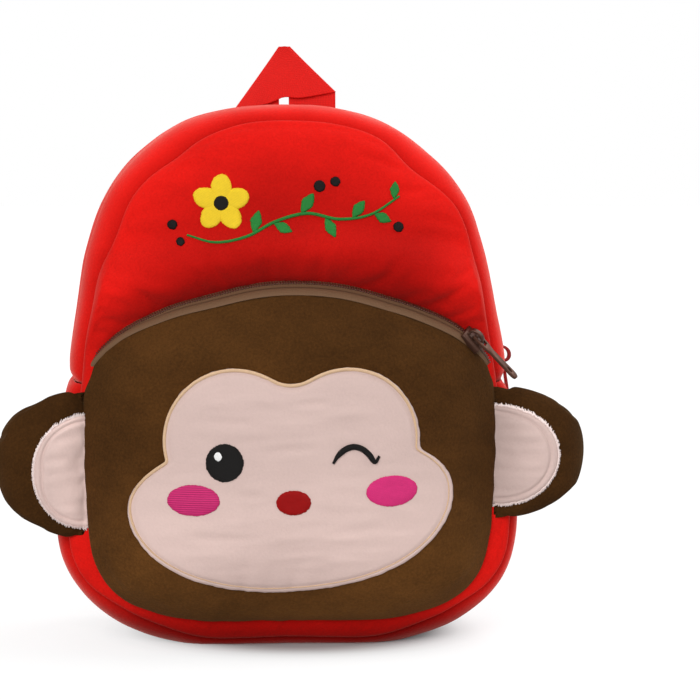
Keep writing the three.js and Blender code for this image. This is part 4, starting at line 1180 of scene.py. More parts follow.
class BAG_OT_panels(bpy.types.Operator):
    """Front and back panels, domed and drawn in along their seams"""

    bl_idname = "bag.panels"
    bl_label = "Front and back panels"

    def execute(self, context):
        sizes = context.scene.bag_sizes
        panels = [
            ("front_panel", FRONT_SEAM, FRONT_SEAM_Y, -1, FRONT_DOME, 132, 1),
            ("back_panel", BACK_SEAM, BACK_SEAM_Y, 1, BACK_DOME, 120, 2),
        ]
        for node, seam, seam_y, side, dome, count, seed in panels:
            place = panel_place(seam, seam_y, side, dome, sizes, seed)
            piece = cloth_grid(node + "_plush", count, count, place)
            if side < 0:
                x, _, z = points_of(piece).T / MM
                held = (seam.part(x, z) > 0.97) | (POCKET_LINE.part(x, z) < 1.02)
                settle(piece, held, growth=0.02, cap=4)
            x, _, z = points_of(piece).T / MM
            # Painted light along the seams, painted shade further in, under the bulge by the zip and near the
            # floor
            paint_shading(piece, panel_painted_shading(x, z, seam, side))
            thicken(piece, sizes.wall)
            smooth(piece)
            place_piece(piece, "red_plush", "red_plush", [node])
        return {"FINISHED"}


def gusset_place(start, end, low, high, sizes, seed):
    """Place function of a strip of the gusset between two places and two depths."""
    deep, wide = sizes.seam_depth / MM, sizes.seam_width / MM

    def place(across, up):
        along = span(start, end, across)
        depth = span(high, low, up)
        points, outward = gusset_point(along, depth)
        from_front = depth * BODY_DEPTH * GUSSET_BOW
        from_back = (1 - depth) * BODY_DEPTH * GUSSET_BOW
        from_seam = np.minimum(from_front, from_back)
        from_end = np.minimum(along - start, end - along) * BODY.length
        swell = rounded(1.3, from_seam, SEAM_SWELL)
        swell += sizes.pucker / MM * gathers(along * BODY.length, seed) * np.exp(-from_seam / GATHER_REACH)
        swell += sizes.lumps / MM * (0.8 * lumps(points, 40, seed) + 0.35 * lumps(points, 17, seed + 3))
        swell -= 1.9 * bell(from_end, 0, 2.4)
        for edge in (ZIP_FRONT, ZIP_BACK):
            if edge in (low, high):
                swell -= 2.3 * bell(np.abs(depth - edge) * BODY_DEPTH, 0, 1.6)
        front_roll = deep * np.exp(-from_front / wide)
        back_roll = deep * np.exp(-from_back / wide)
        swell -= SEAM_IN * front_roll + SEAM_IN * back_roll
        points = points + outward * swell[:, None]
        points[:, 1] += SEAM_BACK * (front_roll - back_roll)
        points[:, 2] = np.maximum(points[:, 2], 0)
        return points

    return place


class BAG_OT_gusset(bpy.types.Operator):
    """Strips of the gusset: in front of the zip, behind it, and under it round the base"""

    bl_idname = "bag.gusset"
    bl_label = "Gusset"

    def execute(self, context):
        sizes = context.scene.bag_sizes
        gap = 0.2 / BODY.length
        upper = (SIDE_PLACE + gap, 1 - SIDE_PLACE - gap)
        lower = (-SIDE_PLACE + gap, SIDE_PLACE - gap)
        strips = [
            ("gusset_front_strip", upper, 0.0, ZIP_FRONT, 250, 34, 4),
            ("gusset_back_strip", upper, ZIP_BACK, 1.0, 250, 26, 5),
            ("gusset_lower", lower, 0.0, 1.0, 260, 64, 6),
        ]
        for node, (start, end), low, high, columns, rows, seed in strips:
            place = gusset_place(start, end, low, high, sizes, seed)
            piece = cloth_grid(node + "_plush", columns, rows, place)
            _, y, z = points_of(piece).T / MM
            # Painted shade in the crease beside each seam and near the floor
            shaded = 1 - 0.42 * bell(y, FRONT_SEAM_Y, 4.5) - 0.3 * bell(y, BACK_SEAM_Y, 5)
            paint_shading(piece, RED_TONES[0] * shaded * base_shade(z))
            thicken(piece, sizes.wall)
            smooth(piece)
            place_piece(piece, "gusset_plush", "red_plush", [node])
        return {"FINISHED"}


# Pocket and face

# Share of the pocket's grid that shows; the rest turns under at its rim
POCKET_TURN = 0.955


def pocket_place(sizes, seed=8):
    """Place function of the stuffed pocket."""

    def place(across, up):
        raw, angle = disc(across, up)
        raw = crowd(raw)
        part = np.minimum(raw / POCKET_TURN, 1)
        under = np.maximum(raw - POCKET_TURN, 0) / (1 - POCKET_TURN)
        reach = POCKET_EDGE.radius(angle)
        rim_y = POCKET_EDGE.extra(angle)
        x, z = POCKET_EDGE.point(part, angle)
        from_rim = (1 - part) * reach
        fullness = mix(2.6, 3.7, smoothstep(-np.sin(angle), 0, 0.8))
        rise = np.maximum(1 - part**fullness, 0) ** 0.8
        y = mix(rim_y, POCKET_FRONT_Y, rise)
        y += under * (POCKET_RIM_STANDOFF - 0.4)
        spots = standing(x, z)
        swell = sizes.lumps / MM * (lumps(spots, 50, seed) + 0.35 * lumps(spots, 18, seed + 3)) * rise**0.5
        pull = sizes.pucker / MM * 1.2 * gathers(angle * reach, seed) * np.exp(-from_rim / 8) * (1 - under)
        shrink = 1 + (0.5 - 0.9 * under**2) / reach + pull / reach
        x = POCKET_CENTRE[0] + (x - POCKET_CENTRE[0]) * shrink
        z = POCKET_CENTRE[1] + (z - POCKET_CENTRE[1]) * shrink
        return stack(x, y - swell - 0.4 * pull, z)

    return place


class BAG_OT_pocket(bpy.types.Operator):
    """Stuffed front pocket, sewn to the panel below and zipped along its top"""

    bl_idname = "bag.pocket"
    bl_label = "Pocket"

    def execute(self, context):
        sizes = context.scene.bag_sizes
        piece = cloth_grid("pocket_panel_plush", 150, 150, pocket_place(sizes))
        x, _, z = points_of(piece).T / MM
        settle(piece, POCKET_EDGE.part(x, z) > 0.95, growth=0.02, cap=4)
        soften(piece, 6)
        z = points_of(piece)[:, 2] / MM
        # Painted light on the pocket's lower part, painted shade higher up and deepest towards the zip
        bright = mix(BROWN_TONES[0], 0.86, smoothstep(z, 10, 80)) * mix(1, 0.9, smoothstep(z, 110, 150))
        paint_shading(piece, bright, BROWN_TONES)
        thicken(piece, sizes.pocket_wall)
        smooth(piece)
        place_piece(piece, "brown_plush", "brown_plush", ["pocket_panel"])
        return {"FINISHED"}


def face_place(ground):
    """Place function of the face patch, laid on the pocket."""

    def place(across, up):
        part, angle = disc(across, up)
        part = crowd(part)
        reach = FACE.radius(angle)
        ragged = 0.35 * line_lumps(angle * reach, 1.6, 21) + 0.3 * line_lumps(angle * reach, 5, 22)
        reach = reach + ragged * part**6
        x = FACE_CENTRE[0] + part * reach * np.cos(angle)
        z = FACE_CENTRE[1] + part * reach * np.sin(angle)
        from_edge = (1 - part) * reach
        lift = 0.55 + 1.25 * (1 - np.exp(-from_edge))
        lift -= 0.55 * bell(from_edge, 2.4, 0.9)
        spots = standing(x / 34, z / 6.5)
        middle = smoothstep(from_edge, 2, 16)
        lift += middle * (0.55 * lumps(spots, 1, 31) + 0.3 * lumps(spots * 2.1, 1, 32))
        lift += middle * creases(x, z, FACE_CREASES)
        return stack(x, ground.front(x, z) - lift, z)

    return place


class BAG_OT_face(bpy.types.Operator):
    """Pale face patch with its stitched edge"""

    bl_idname = "bag.face"
    bl_label = "Face patch"

    def execute(self, context):
        sizes = context.scene.bag_sizes
        ground = Ground(bpy.data.objects["pocket_panel_plush"])
        piece = cloth_grid("face_patch_plush", 120, 120, face_place(ground))
        soften(piece, 1)
        thicken(piece, sizes.patch)
        smooth(piece)
        height = points_of(piece)[:, 2] / MM
        # Painted shade over the face patch, deeper towards the top and lighter towards the bottom
        paint_shading(piece, mix(1.06, 0.91, smoothstep(height, 40, 95)), PINK_TONES)
        place_piece(piece, "pink_plush", "pink_plush", ["face_patch"])

        angles = np.linspace(-math.pi, math.pi, 420, endpoint=False)
        above = smoothstep(np.sin(angles - 0.35), -0.5, 0.5)
        reach = FACE.radius(angles) - mix(2.2, 0.75, above)
        line = stack(FACE_CENTRE[0] + reach * np.cos(angles), FACE_CENTRE[1] + reach * np.sin(angles))
        radii = mix(0.28, 0.8, above)
        edge = laid_thread("face_edge_stitch", Ground(piece), line, radii, 0.1 * radii, closed=True)
        place_piece(edge, "tan_thread", "pink_plush")
        return {"FINISHED"}


RIDGE_PITCH = 0.95


def stitched_pad(name, ground, centre, radius, rows, low, high, ridge=0.0):
    """Raised satin pad whose outline is given by angle round its centre."""

    def place(across, up):
        part, angle = disc(across, up)
        reach = radius(angle)
        reach = reach + 0.28 * line_lumps(angle * np.mean(reach), 0.7, len(name)) * part**4
        x = centre[0] + part * reach * np.cos(angle)
        z = centre[1] + part * reach * np.sin(angle)
        lift = low + (high - low) * (1 - part**6)
        lift += ridge * np.sin(z * TURN / RIDGE_PITCH) * (1 - part**4)
        return stack(x, ground.front(x, z) - lift, z)

    piece = cloth_grid(name, rows, rows, place)
    thicken(piece, 0.3 * MM)
    smooth(piece)
    return piece


def oval(half_width, half_height, turned=0.0):
    """Outline of an oval by angle round its middle."""

    def radius(angle):
        cos, sin = np.cos(angle - turned), np.sin(angle - turned)
        return 1 / np.sqrt((cos / half_width) ** 2 + (sin / half_height) ** 2)

    return radius


WINK = [
    (16.9, 87.6), (18.9, 90.8), (21.9, 93.5), (25.8, 94.8), (29.8, 93.7), (32.8, 91.1), (35.3, 88),
    (37.2, 90.6),
]


class BAG_OT_features(bpy.types.Operator):
    """Embroidered eyes, cheeks and nose"""

    bl_idname = "bag.features"
    bl_label = "Eyes, cheeks and nose"

    def execute(self, context):
        ground = Ground(bpy.data.objects["face_patch_plush"])
        pads = [
            ("eye_open", (-30.2, 88), oval(8.2, 8.3), "black_thread", 0),
            ("cheek_left", (-43.8, 71.4), oval(11.4, 6.8), "magenta_thread", 0.08),
            ("cheek_right", (42.8, 75.2), oval(11.4, 6.7, 0.06), "smooth_magenta_thread", 0),
            ("nose", (-0.3, 70.6), oval(7.6, 5.4), "red_thread", 0),
        ]
        for node, centre, radius, look, ridge in pads:
            piece = stitched_pad(node + "_stitch", ground, centre, radius, 56, low=0.3, high=1.0, ridge=ridge)
            place_piece(piece, look, look.removeprefix("smooth_"), [node])
        eye = Ground(bpy.data.objects["eye_open_stitch"])
        glint = stitched_pad("eye_glint_stitch", eye, (-33.1, 90.9), oval(1.6, 2.0), 16, low=0.25, high=0.5)
        place_piece(glint, "white_thread", "pink_plush")

        line = Line(smooth_line(WINK)).at(np.linspace(0, 1, 60))
        ends = np.minimum(np.linspace(0, 1, 60), np.linspace(1, 0, 60))
        radii = mix(0.6, 1.35, smoothstep(ends, 0, 0.25))
        wink = laid_thread("eye_wink_stitch", ground, line, radii, 0.25)
        place_piece(wink, "black_thread", "black_thread", ["eye_wink"])
        return {"FINISHED"}


def leaf(half_long, half_wide, turned):
    """Outline of a pointed leaf by angle round its middle."""

    def radius(angle):
        cos, sin = np.abs(np.cos(angle - turned)), np.abs(np.sin(angle - turned))
        return 1 / ((cos / half_long) ** 1.25 + (sin / half_wide) ** 1.25) ** 0.8

    return radius


class BAG_OT_sprig(bpy.types.Operator):
    """Embroidered flower, leaves and berries on the front panel"""

    bl_idname = "bag.sprig"
    bl_label = "Embroidered sprig"

    def execute(self, context):
        ground = Ground(bpy.data.objects["front_panel_plush"])
        petals = []
        for turn in np.arange(5) / 5 * TURN + 0.3:
            spot = (FLOWER[0] + PETAL_OFF * math.cos(turn), FLOWER[1] + PETAL_OFF * math.sin(turn))
            petals.append((spot, oval(6.2, 4.6, turn)))
        self.sew("flower_petals_stitch", ground, petals, "yellow_thread", 26)
        middle = [(FLOWER, oval(3.4, 3.4))]
        self.sew("flower_middle_stitch", ground, middle, "black_thread", 20, low=0.7, high=1.6)

        stem = Line(smooth_line(STEM))
        leaves = []
        for place, side, long, half in LEAVES:
            foot, along = stem.at(place), stem.along(place)
            turn = math.atan2(along[1], along[0]) + side * 0.85
            spot = (foot[0] + math.cos(turn) * long * 0.55, foot[1] + math.sin(turn) * long * 0.55)
            leaves.append((spot, leaf(long / 2, half, turn)))
        self.sew("sprig_leaves_stitch", ground, leaves, "green_thread", 18)
        berries = [((x, z), oval(half, half)) for x, z, half in BERRIES]
        self.sew("sprig_berries_stitch", ground, berries, "black_thread", 16)

        radii = mix(0.45, 0.75, np.sin(np.linspace(0, math.pi, 110)))
        cord = laid_thread("sprig_stem_stitch", ground, stem.at(np.linspace(0, 1, 110)), radii, 0.35)
        place_piece(cord, "green_thread")
        return {"FINISHED"}

    @staticmethod
    def sew(name, ground, shapes, look, rows, low=0.2, high=0.9):
        """One piece made of several raised pads, each a little higher than the last."""
        pads = []
        for number, (spot, radius) in enumerate(shapes):
            pad_name = f"{name}_{number}" if number else name
            pads.append(stitched_pad(pad_name, ground, spot, radius, rows, low, high + 0.04 * number))
        place_piece(join(*pads), look)


# Ears


def ear_place(ear, face):
    """Place function of one face of an ear: 1 for its front, -1 for its back."""
    shape = ear_outline(ear)

    def place(across, up):
        part, angle = disc(across, up)
        part = crowd(part)
        along, rise = shape.point(part, angle)
        puff = EAR_HALF_THICK * np.maximum(1 - part**2.2, 0) ** 0.7 * smoothstep(along, -1, 15)
        return ear_point(ear, along, rise, face * puff)

    return place


class BAG_OT_ears(bpy.types.Operator):
    """Padded ears that curl back, with their inner patches"""

    bl_idname = "bag.ears"
    bl_label = "Ears"

    def execute(self, context):
        sizes = context.scene.bag_sizes
        for ear in EARS:
            node = f"ear_{ear.name}"
            front = cloth_grid(f"{node}_plush", 56, 56, ear_place(ear, 1))
            back = cloth_grid(f"{node}_back", 56, 56, ear_place(ear, -1))
            piece = join(front, back)
            edit_all(piece, bpy.ops.mesh.remove_doubles, threshold=1e-5)
            face_out(piece)
            held = points_of(piece)[:, 0] * ear.side < (EAR_ROOT[0] - 2.5) * MM
            settle(piece, held, growth=0.03, cap=3)
            soften(piece, 4)
            smooth(piece)
            place_piece(piece, "ear_plush", "brown_plush", [node])

            ground = Ground(piece)
            patch = cloth_grid(f"inner_{node}_plush", 60, 60, self.patch_place(ear, ground))
            face_out(patch)
            thicken(patch, sizes.patch)
            face_out(patch)
            smooth(patch)
            # Painted light and shade on the inner patch, from its brightness at the root to its brightness
            # further out
            from_root = np.abs(points_of(patch)[:, 0]) / MM - EAR_ROOT[0]
            near, far, reach = ear.patch_tone
            paint_shading(patch, mix(near, far, smoothstep(from_root, 1.5, reach)), PINK_TONES)
            place_piece(patch, "pink_plush", "pink_plush", [f"inner_{node}"])
            place_piece(self.fringe(ear, ground), "pale_fibre", "pink_plush")
        return {"FINISHED"}

    def fringe(self, ear, ground):
        """Loose fibres round the raw edge of an inner patch."""
        shape = patch_outline(ear)
        count = 420
        angles = np.linspace(-2.08, 2.08, count)
        rows = [
            self.laid(ear, ground, *shape.point(part, angles), np.full_like(angles, lift))
            for part, lift in ((0.95, 1.2), (1.02, 0.6))
        ]
        chance = np.random.default_rng(len(ear.name))
        out = direction(rows[1] - rows[0])
        along = direction(np.gradient(rows[0], axis=0))
        off = np.cross(out, along)
        out = out * chance.uniform(0.7, 1.9, (count, 1)) + along * chance.uniform(-0.6, 0.6, (count, 1))
        clear_selection()
        bpy.ops.mesh.primitive_cone_add(vertices=4, radius1=0.5 * MM, radius2=0.12 * MM, depth=MM)
        unit = named("fibre")
        set_points(unit, points_of(unit) / MM + (0, 0, 0.5))
        origins = mix(rows[0], rows[1], chance.uniform(0.3, 0.8, (count, 1)))
        return copies(f"inner_ear_{ear.name}_fringe", unit, origins, along, off, out)

    @staticmethod
    def laid(ear, ground, along, rise, lift):
        """Points lifted off the front of an ear."""
        start = ear_point(ear, along, rise, np.full_like(along, 25.0))
        foot = ear_point(ear, along, rise, np.zeros_like(along))
        found = []
        for top, bottom, up in zip(start, foot, lift):
            way = (bottom - top) / np.linalg.norm(bottom - top)
            place = ground.hit(top, way)
            base = np.array(place) / MM if place is not None else bottom
            found.append(base - way * up)
        return np.array(found)

    def patch_place(self, ear, ground):
        shape = patch_outline(ear)

        def place(across, up):
            part, angle = disc(across, up)
            part = crowd(part)
            reach = shape.radius(angle) + 0.4 * line_lumps(angle * 20, 1.4, 41) * part**6
            along = shape.centre[0] + part * reach * np.cos(angle)
            rise = shape.centre[1] + part * reach * np.sin(angle)
            edge = shape.centre[0] + reach * np.cos(angle)
            at_root = 1 - smoothstep(edge, PATCH_START + 0.3, PATCH_START + 2)
            from_edge = (1 - part) * reach + 9 * at_root
            lift = 0.5 + 1.3 * (1 - np.exp(-from_edge / 0.8))
            lift -= 0.9 * bell(from_edge, 3.2, 0.8)
            spots = standing(along / 18, rise / 4.2)
            lift += smoothstep(from_edge, 3, 8) * lumps(spots, 1, 43 + len(ear.name))
            lift *= mix(0.35, 1, smoothstep(along, PATCH_START, PATCH_START + 5))
            return self.laid(ear, ground, along, rise, lift)

        return place


# Zips


def tooth(width, long, high):
    """One tooth of a coil: a rounded bar across the tape."""
    clear_selection()
    bpy.ops.mesh.primitive_cube_add(size=1)
    piece = named("tooth")
    set_points(piece, points_of(piece) * (width, long, high) + (0, 0, high / 2))
    change(piece, "BEVEL", width=0.3 * long * MM, segments=1, limit_method="NONE")
    return piece


def copies(name, unit, origins, across, along, up):
    """One mesh of many copies of a unit piece, each in its own frame."""
    local = points_of(unit) / MM
    faces = [tuple(face.vertices) for face in unit.data.polygons]
    count = len(local)
    points = (
        origins[:, None]
        + local[None, :, 0:1] * across[:, None]
        + local[None, :, 1:2] * along[:, None]
        + local[None, :, 2:3] * up[:, None]
    ).reshape(-1, 3)
    all_faces = [tuple(v + copy * count for v in face) for copy in range(len(origins)) for face in faces]
    mesh = bpy.data.meshes.new(name)
    mesh.from_pydata((points * MM).tolist(), [], all_faces)
    piece = add_object(name, mesh)
    bpy.data.objects.remove(unit)
    face_out(piece)
    smooth(piece, 40)
    return piece


class BAG_OT_main_zip(bpy.types.Operator):
    """Main zip's tape and coil, sunk between the gusset's strips"""

    bl_idname = "bag.main_zip"
    bl_label = "Main zip"

    def execute(self, context):
        sizes = context.scene.bag_sizes
        gap = 0.4 / BODY.length
        start, end = SIDE_PLACE + gap, 1 - SIDE_PLACE - gap
        low, high = ZIP_FRONT - TAPE_TUCK, ZIP_BACK + TAPE_TUCK

        def tape(across, up):
            points, _ = gusset_point(span(start, end, across), span(high, low, up), TAPE_TOP)
            return points

        piece = cloth_grid("main_zip_tape_weave", 200, 10, tape)
        scale_map(piece, (end - start) * BODY.length * MM, (high - low) * BODY_DEPTH * MM)
        thicken(piece, sizes.tape)
        smooth(piece, 40)
        place_piece(piece, "red_zip_tape", "red_zip_tape", ["main_zip_tape"])

        count = int((end - start) * BODY.length / 1.5)
        places = np.linspace(start, end, count)
        points, outward = gusset_point(places, np.full(count, ZIP_MIDDLE), COIL_FOOT)
        along = standing(*BODY.along(places).T)
        across = np.cross(along, outward)
        coil = copies("main_zip_coil_teeth", tooth(3.6, 1.0, 1.5), points, across, along, outward)
        place_piece(coil, "red_zip_coil", "red_zip_coil", ["main_zip_coil"])
        return {"FINISHED"}


class BAG_OT_pocket_zip(bpy.types.Operator):
    """Pocket zip's tape and coil, from the front panel out to the pocket's edge"""

    bl_idname = "bag.pocket_zip"
    bl_label = "Pocket zip"

    def execute(self, context):
        sizes = context.scene.bag_sizes
        start = place_at_height(POCKET, POCKET_ZIP_END)
        end = 1 - start

        groove = []

        def tape(across, up):
            outer, inner, _, _, normal = pocket_zip(span(start, end, across))
            part = (1 - up) / 2
            ends = smoothstep(1 - np.abs(across), 0, 0.06)
            part = 1 - (1 - part) * mix(0.25, 1, ends)
            piping = PIPING * np.sqrt(np.maximum(1 - ((part - 0.78) / 0.24) ** 2, 0))
            lift = mix(0.5 * np.sin(part * math.pi), piping, smoothstep(across, -0.86, -0.74))
            # Painted shadow in the groove between the coil and the piping
            groove.append(1 - 0.9 * bell(part, 0.53, 0.07))
            sink = TAPE_SINK * smoothstep(-across, 0.94, 0.965)
            return mix(outer, inner, part[:, None]) + normal * (lift * ends - sink)[:, None]

        piece = cloth_grid("pocket_zip_tape_weave", 180, 30, tape)
        scale_map(piece, (end - start) * POCKET.length * MM, 0.01)
        # Marks the painted shadow of the groove on the tape
        paint_shading(piece, groove[0], (1, 0))
        thicken(piece, sizes.tape)
        smooth(piece, 40)
        place_piece(piece, "brown_zip_tape", "brown_zip_tape", ["pocket_zip_tape"])

        start = place_at_height(POCKET, POCKET_COIL_END)
        count = int((end - start) * POCKET.length / 1.15)
        outer, inner, across, along, normal = pocket_zip(np.linspace(start, end, count))
        width = np.linalg.norm(inner - outer, axis=1)[:, None]
        origins = outer + across * np.minimum(width * 0.28, 1.7) + normal * 0.3
        side = np.cross(along, normal)
        shrink = np.minimum(1, width * 0.8 / 2.8)
        coil = copies("pocket_zip_coil_teeth", tooth(2.2, 0.8, 1.3), origins, side * shrink, along, normal)
        place_piece(coil, "brown_zip_coil", "brown_zip_coil", ["pocket_zip_coil"])
        return {"FINISHED"}


class BAG_OT_sliders(bpy.types.Operator):
    """Zip sliders and their pulls, with rounded edges"""

    bl_idname = "bag.sliders"
    bl_label = "Sliders and pulls"

    def execute(self, context):
        for zip_name, look in (("main", "red_zip_metal"), ("pocket", "bronze_metal")):
            slider = refined_copy(f"{zip_name}_zip_slider", f"{zip_name}_zip_slider_cast", 0.3)
            if zip_name == "main":
                points = points_of(slider) / MM
                points[:, 0] += BRIDGE_RISE * np.maximum(points[:, 0] - BRIDGE_FOOT, 0)
                set_points(slider, points)
            place_piece(slider, f"{zip_name}_slider", look, [f"{zip_name}_zip_slider"])
            pull = refined_copy(f"{zip_name}_zip_pull", f"{zip_name}_zip_pull_cast", 0.32)
            self.slim(pull, zip_name)
            place_piece(pull, look, look, [f"{zip_name}_zip_pull"], f"{zip_name}_zip_pull")
        return {"FINISHED"}

    @staticmethod
    def slim(pull, zip_name):
        """Narrows a pull and draws it out from its hinge."""
        joints = frame["record"]["behaviour"]["joints"]
        joint = next(row for row in joints if row["name"] == f"{zip_name}_pull_hinge")
        pivot, axis = np.array(joint["pos_m"]), np.array(joint["axis"])
        points = points_of(pull) - pivot
        along = points.mean(axis=0)
        along -= axis * (along @ axis)
        along /= np.linalg.norm(along)
        reach = points @ along
        width = mix(PULL_WIDTH, PULL_TIP_WIDTH[zip_name], smoothstep(reach / MM, 3, 12))
        points += np.outer((points @ axis) * (width - 1), axis) + np.outer(reach * (PULL_LENGTH - 1), along)
        set_points(pull, (points + pivot) / MM)


# Webbing


def ribbon(name, points, tilts, thickness, rows):
    """Strap webbing along a smooth line of points, each with the tilt of its width from level."""
    line = Line(smooth_line(points))
    knots = np.linalg.norm(np.diff(points, axis=0), axis=1)
    knots = np.concatenate([[0], np.cumsum(knots)]) / knots.sum()

    def place(across, up):
        part = (up + 1) / 2
        tilt = np.radians(np.interp(part, knots, tilts))
        spot = line.at(part)
        side = standing(np.cos(tilt), np.sin(tilt))
        return spot + side * (across * STRAP_WIDTH / 2)[:, None]

    piece = cloth_grid(name, 8, rows, place)
    scale_map(piece, STRAP_WIDTH * MM, line.length * MM)
    thicken(piece, thickness, 0)
    round_edges(piece, 0.4)
    smooth(piece, 50)
    return piece


def strap_point(down, out):
    """Point down the strap from the buckle's upper bar, and out from it."""
    tilt = math.radians(STRAP_TILT)
    return (BUCKLE[0] + down * math.sin(tilt), BUCKLE[1] + out, BUCKLE[2] - down * math.cos(tilt))


def strap_line():
    """Points of a strap: its tail, its turn through the buckle and its run to the base."""
    slope = math.tan(math.radians(STRAP_TILT))
    rows = [(BUCKLE[0] + (BUCKLE[2] - height) * slope, back, height) for height, back in STRAP_RUN]
    run = Line(smooth_line(rows)).at(np.linspace(0, 1, STRAP_RUN_STEPS + 1))
    tail = []
    for index in range(STRAP_TAIL_POINTS, 0, -1):
        along = run[index + 1] - run[index - 1]
        lift = np.array([0, -along[2], along[1]])
        tail.append(run[index] + lift / np.linalg.norm(lift) * STRAP_TAIL_LIFT)
    turned = [strap_point(down, out) for down, out in STRAP_TURN]
    return np.vstack([tail, turned, run])


class BAG_OT_straps(bpy.types.Operator):
    """Shoulder straps with their tabs and three-barred buckles"""

    bl_idname = "bag.straps"
    bl_label = "Straps and buckles"

    def execute(self, context):
        sizes = context.scene.bag_sizes
        points = strap_line()
        tilts = STRAP_TILT * smoothstep(points[:, 2], 2, 40)
        tab = np.array([strap_point(down, out) for down, out, _ in STRAP_TAB])
        tab_tilts = np.array([tilt for _, _, tilt in STRAP_TAB], float)
        for name, side in (("left", -1), ("right", 1)):
            flip = np.array([side, 1, 1])
            strips = [(f"strap_{name}", points, tilts, 340), (f"strap_tab_{name}", tab, tab_tilts, 60)]
            for node, line, leans, rows in strips:
                strip = ribbon(f"{node}_webbing", line * flip, leans * side, sizes.webbing, rows)
                place_piece(strip, "red_webbing", "red_webbing", [node])
            buckle = refined_copy(f"tri_glide_{name}", f"tri_glide_{name}_moulded", 0.7, 3)
            place_piece(buckle, "red_buckle", "red_buckle", [f"tri_glide_{name}"])
        return {"FINISHED"}


def back_top(x):
    """Height of the top back seam."""
    places = np.linspace(0.36, 0.64, 400)
    points, _ = gusset_point(places, np.ones(400))
    order = np.argsort(points[:, 0])
    return np.interp(x, points[order, 0], points[order, 2])


class BAG_OT_hang_loop(bpy.types.Operator):
    """Hanging loop: webbing folded to a point, its two ends sewn into the back seam"""

    bl_idname = "bag.hang_loop"
    bl_label = "Hanging loop"

    def execute(self, context):
        thickness = context.scene.bag_sizes.webbing
        legs = (
            self.leg("hang_loop_webbing", LOOP_LEFT[0], LOOP_SLIT[0]),
            self.leg("hang_loop_leg", LOOP_SLIT[1], LOOP_RIGHT[0]),
        )
        fold = cloth_grid("hang_loop_fold_webbing", 30, 30, self.fold)
        scale_map(fold, 0.048, 0.027)
        for piece in (*legs, fold):
            thicken(piece, thickness, 0)
            round_edges(piece, 0.35)
            smooth(piece, 50)
        place_piece(join(*legs), "red_webbing", "red_webbing", ["hang_loop"])
        place_piece(fold, "red_webbing", "red_webbing")
        return {"FINISHED"}

    @staticmethod
    def under_fold(x):
        """Height of the fold's lower edge, which gapes over the slit."""
        gape = 1.8 * bell(x, sum(LOOP_SLIT) / 2, 5)
        return mix(LOOP_LEFT[1], LOOP_RIGHT[1], (x - LOOP_LEFT[0]) / (LOOP_RIGHT[0] - LOOP_LEFT[0])) + gape

    def leg(self, name, left, right):
        def place(across, up):
            x = span(left, right, across)
            left_slope = (LOOP_APEX[1] - LOOP_LEFT[1]) / (LOOP_APEX[0] - LOOP_APEX_HALF - LOOP_LEFT[0])
            right_slope = (LOOP_APEX[1] - LOOP_RIGHT[1]) / (LOOP_RIGHT[0] - LOOP_APEX[0] - LOOP_APEX_HALF)
            under = np.minimum(left_slope * (x - LOOP_LEFT[0]), right_slope * (LOOP_RIGHT[0] - x))
            z = span(back_top(x) - 1.2, self.under_fold(x) + np.minimum(under, 3) - 0.3, up)
            y = LOOP_FRONT + 1.1 + LOOP_LEAN * np.maximum(z - LOOP_BASE, 0)
            return stack(x, y, z)

        piece = cloth_grid(name, 16, 12, place)
        scale_map(piece, (right - left) * MM, 0.014)
        return piece

    def fold(self, across, up):
        part = (up + 1) / 2
        low = span(LOOP_LEFT[0], LOOP_RIGHT[0], across)
        x = mix(low, LOOP_APEX[0] + across * LOOP_APEX_HALF, part)
        z = mix(self.under_fold(low), LOOP_APEX[1] - 0.5 * across**2, part)
        y = LOOP_FRONT - 0.5 + LOOP_LEAN * np.maximum(z - LOOP_BASE, 0)
        y = y + 0.7 * across**6 - 0.5 * (1 - across**2) * (1 - part)
        return stack(x, y, z)


# Stage


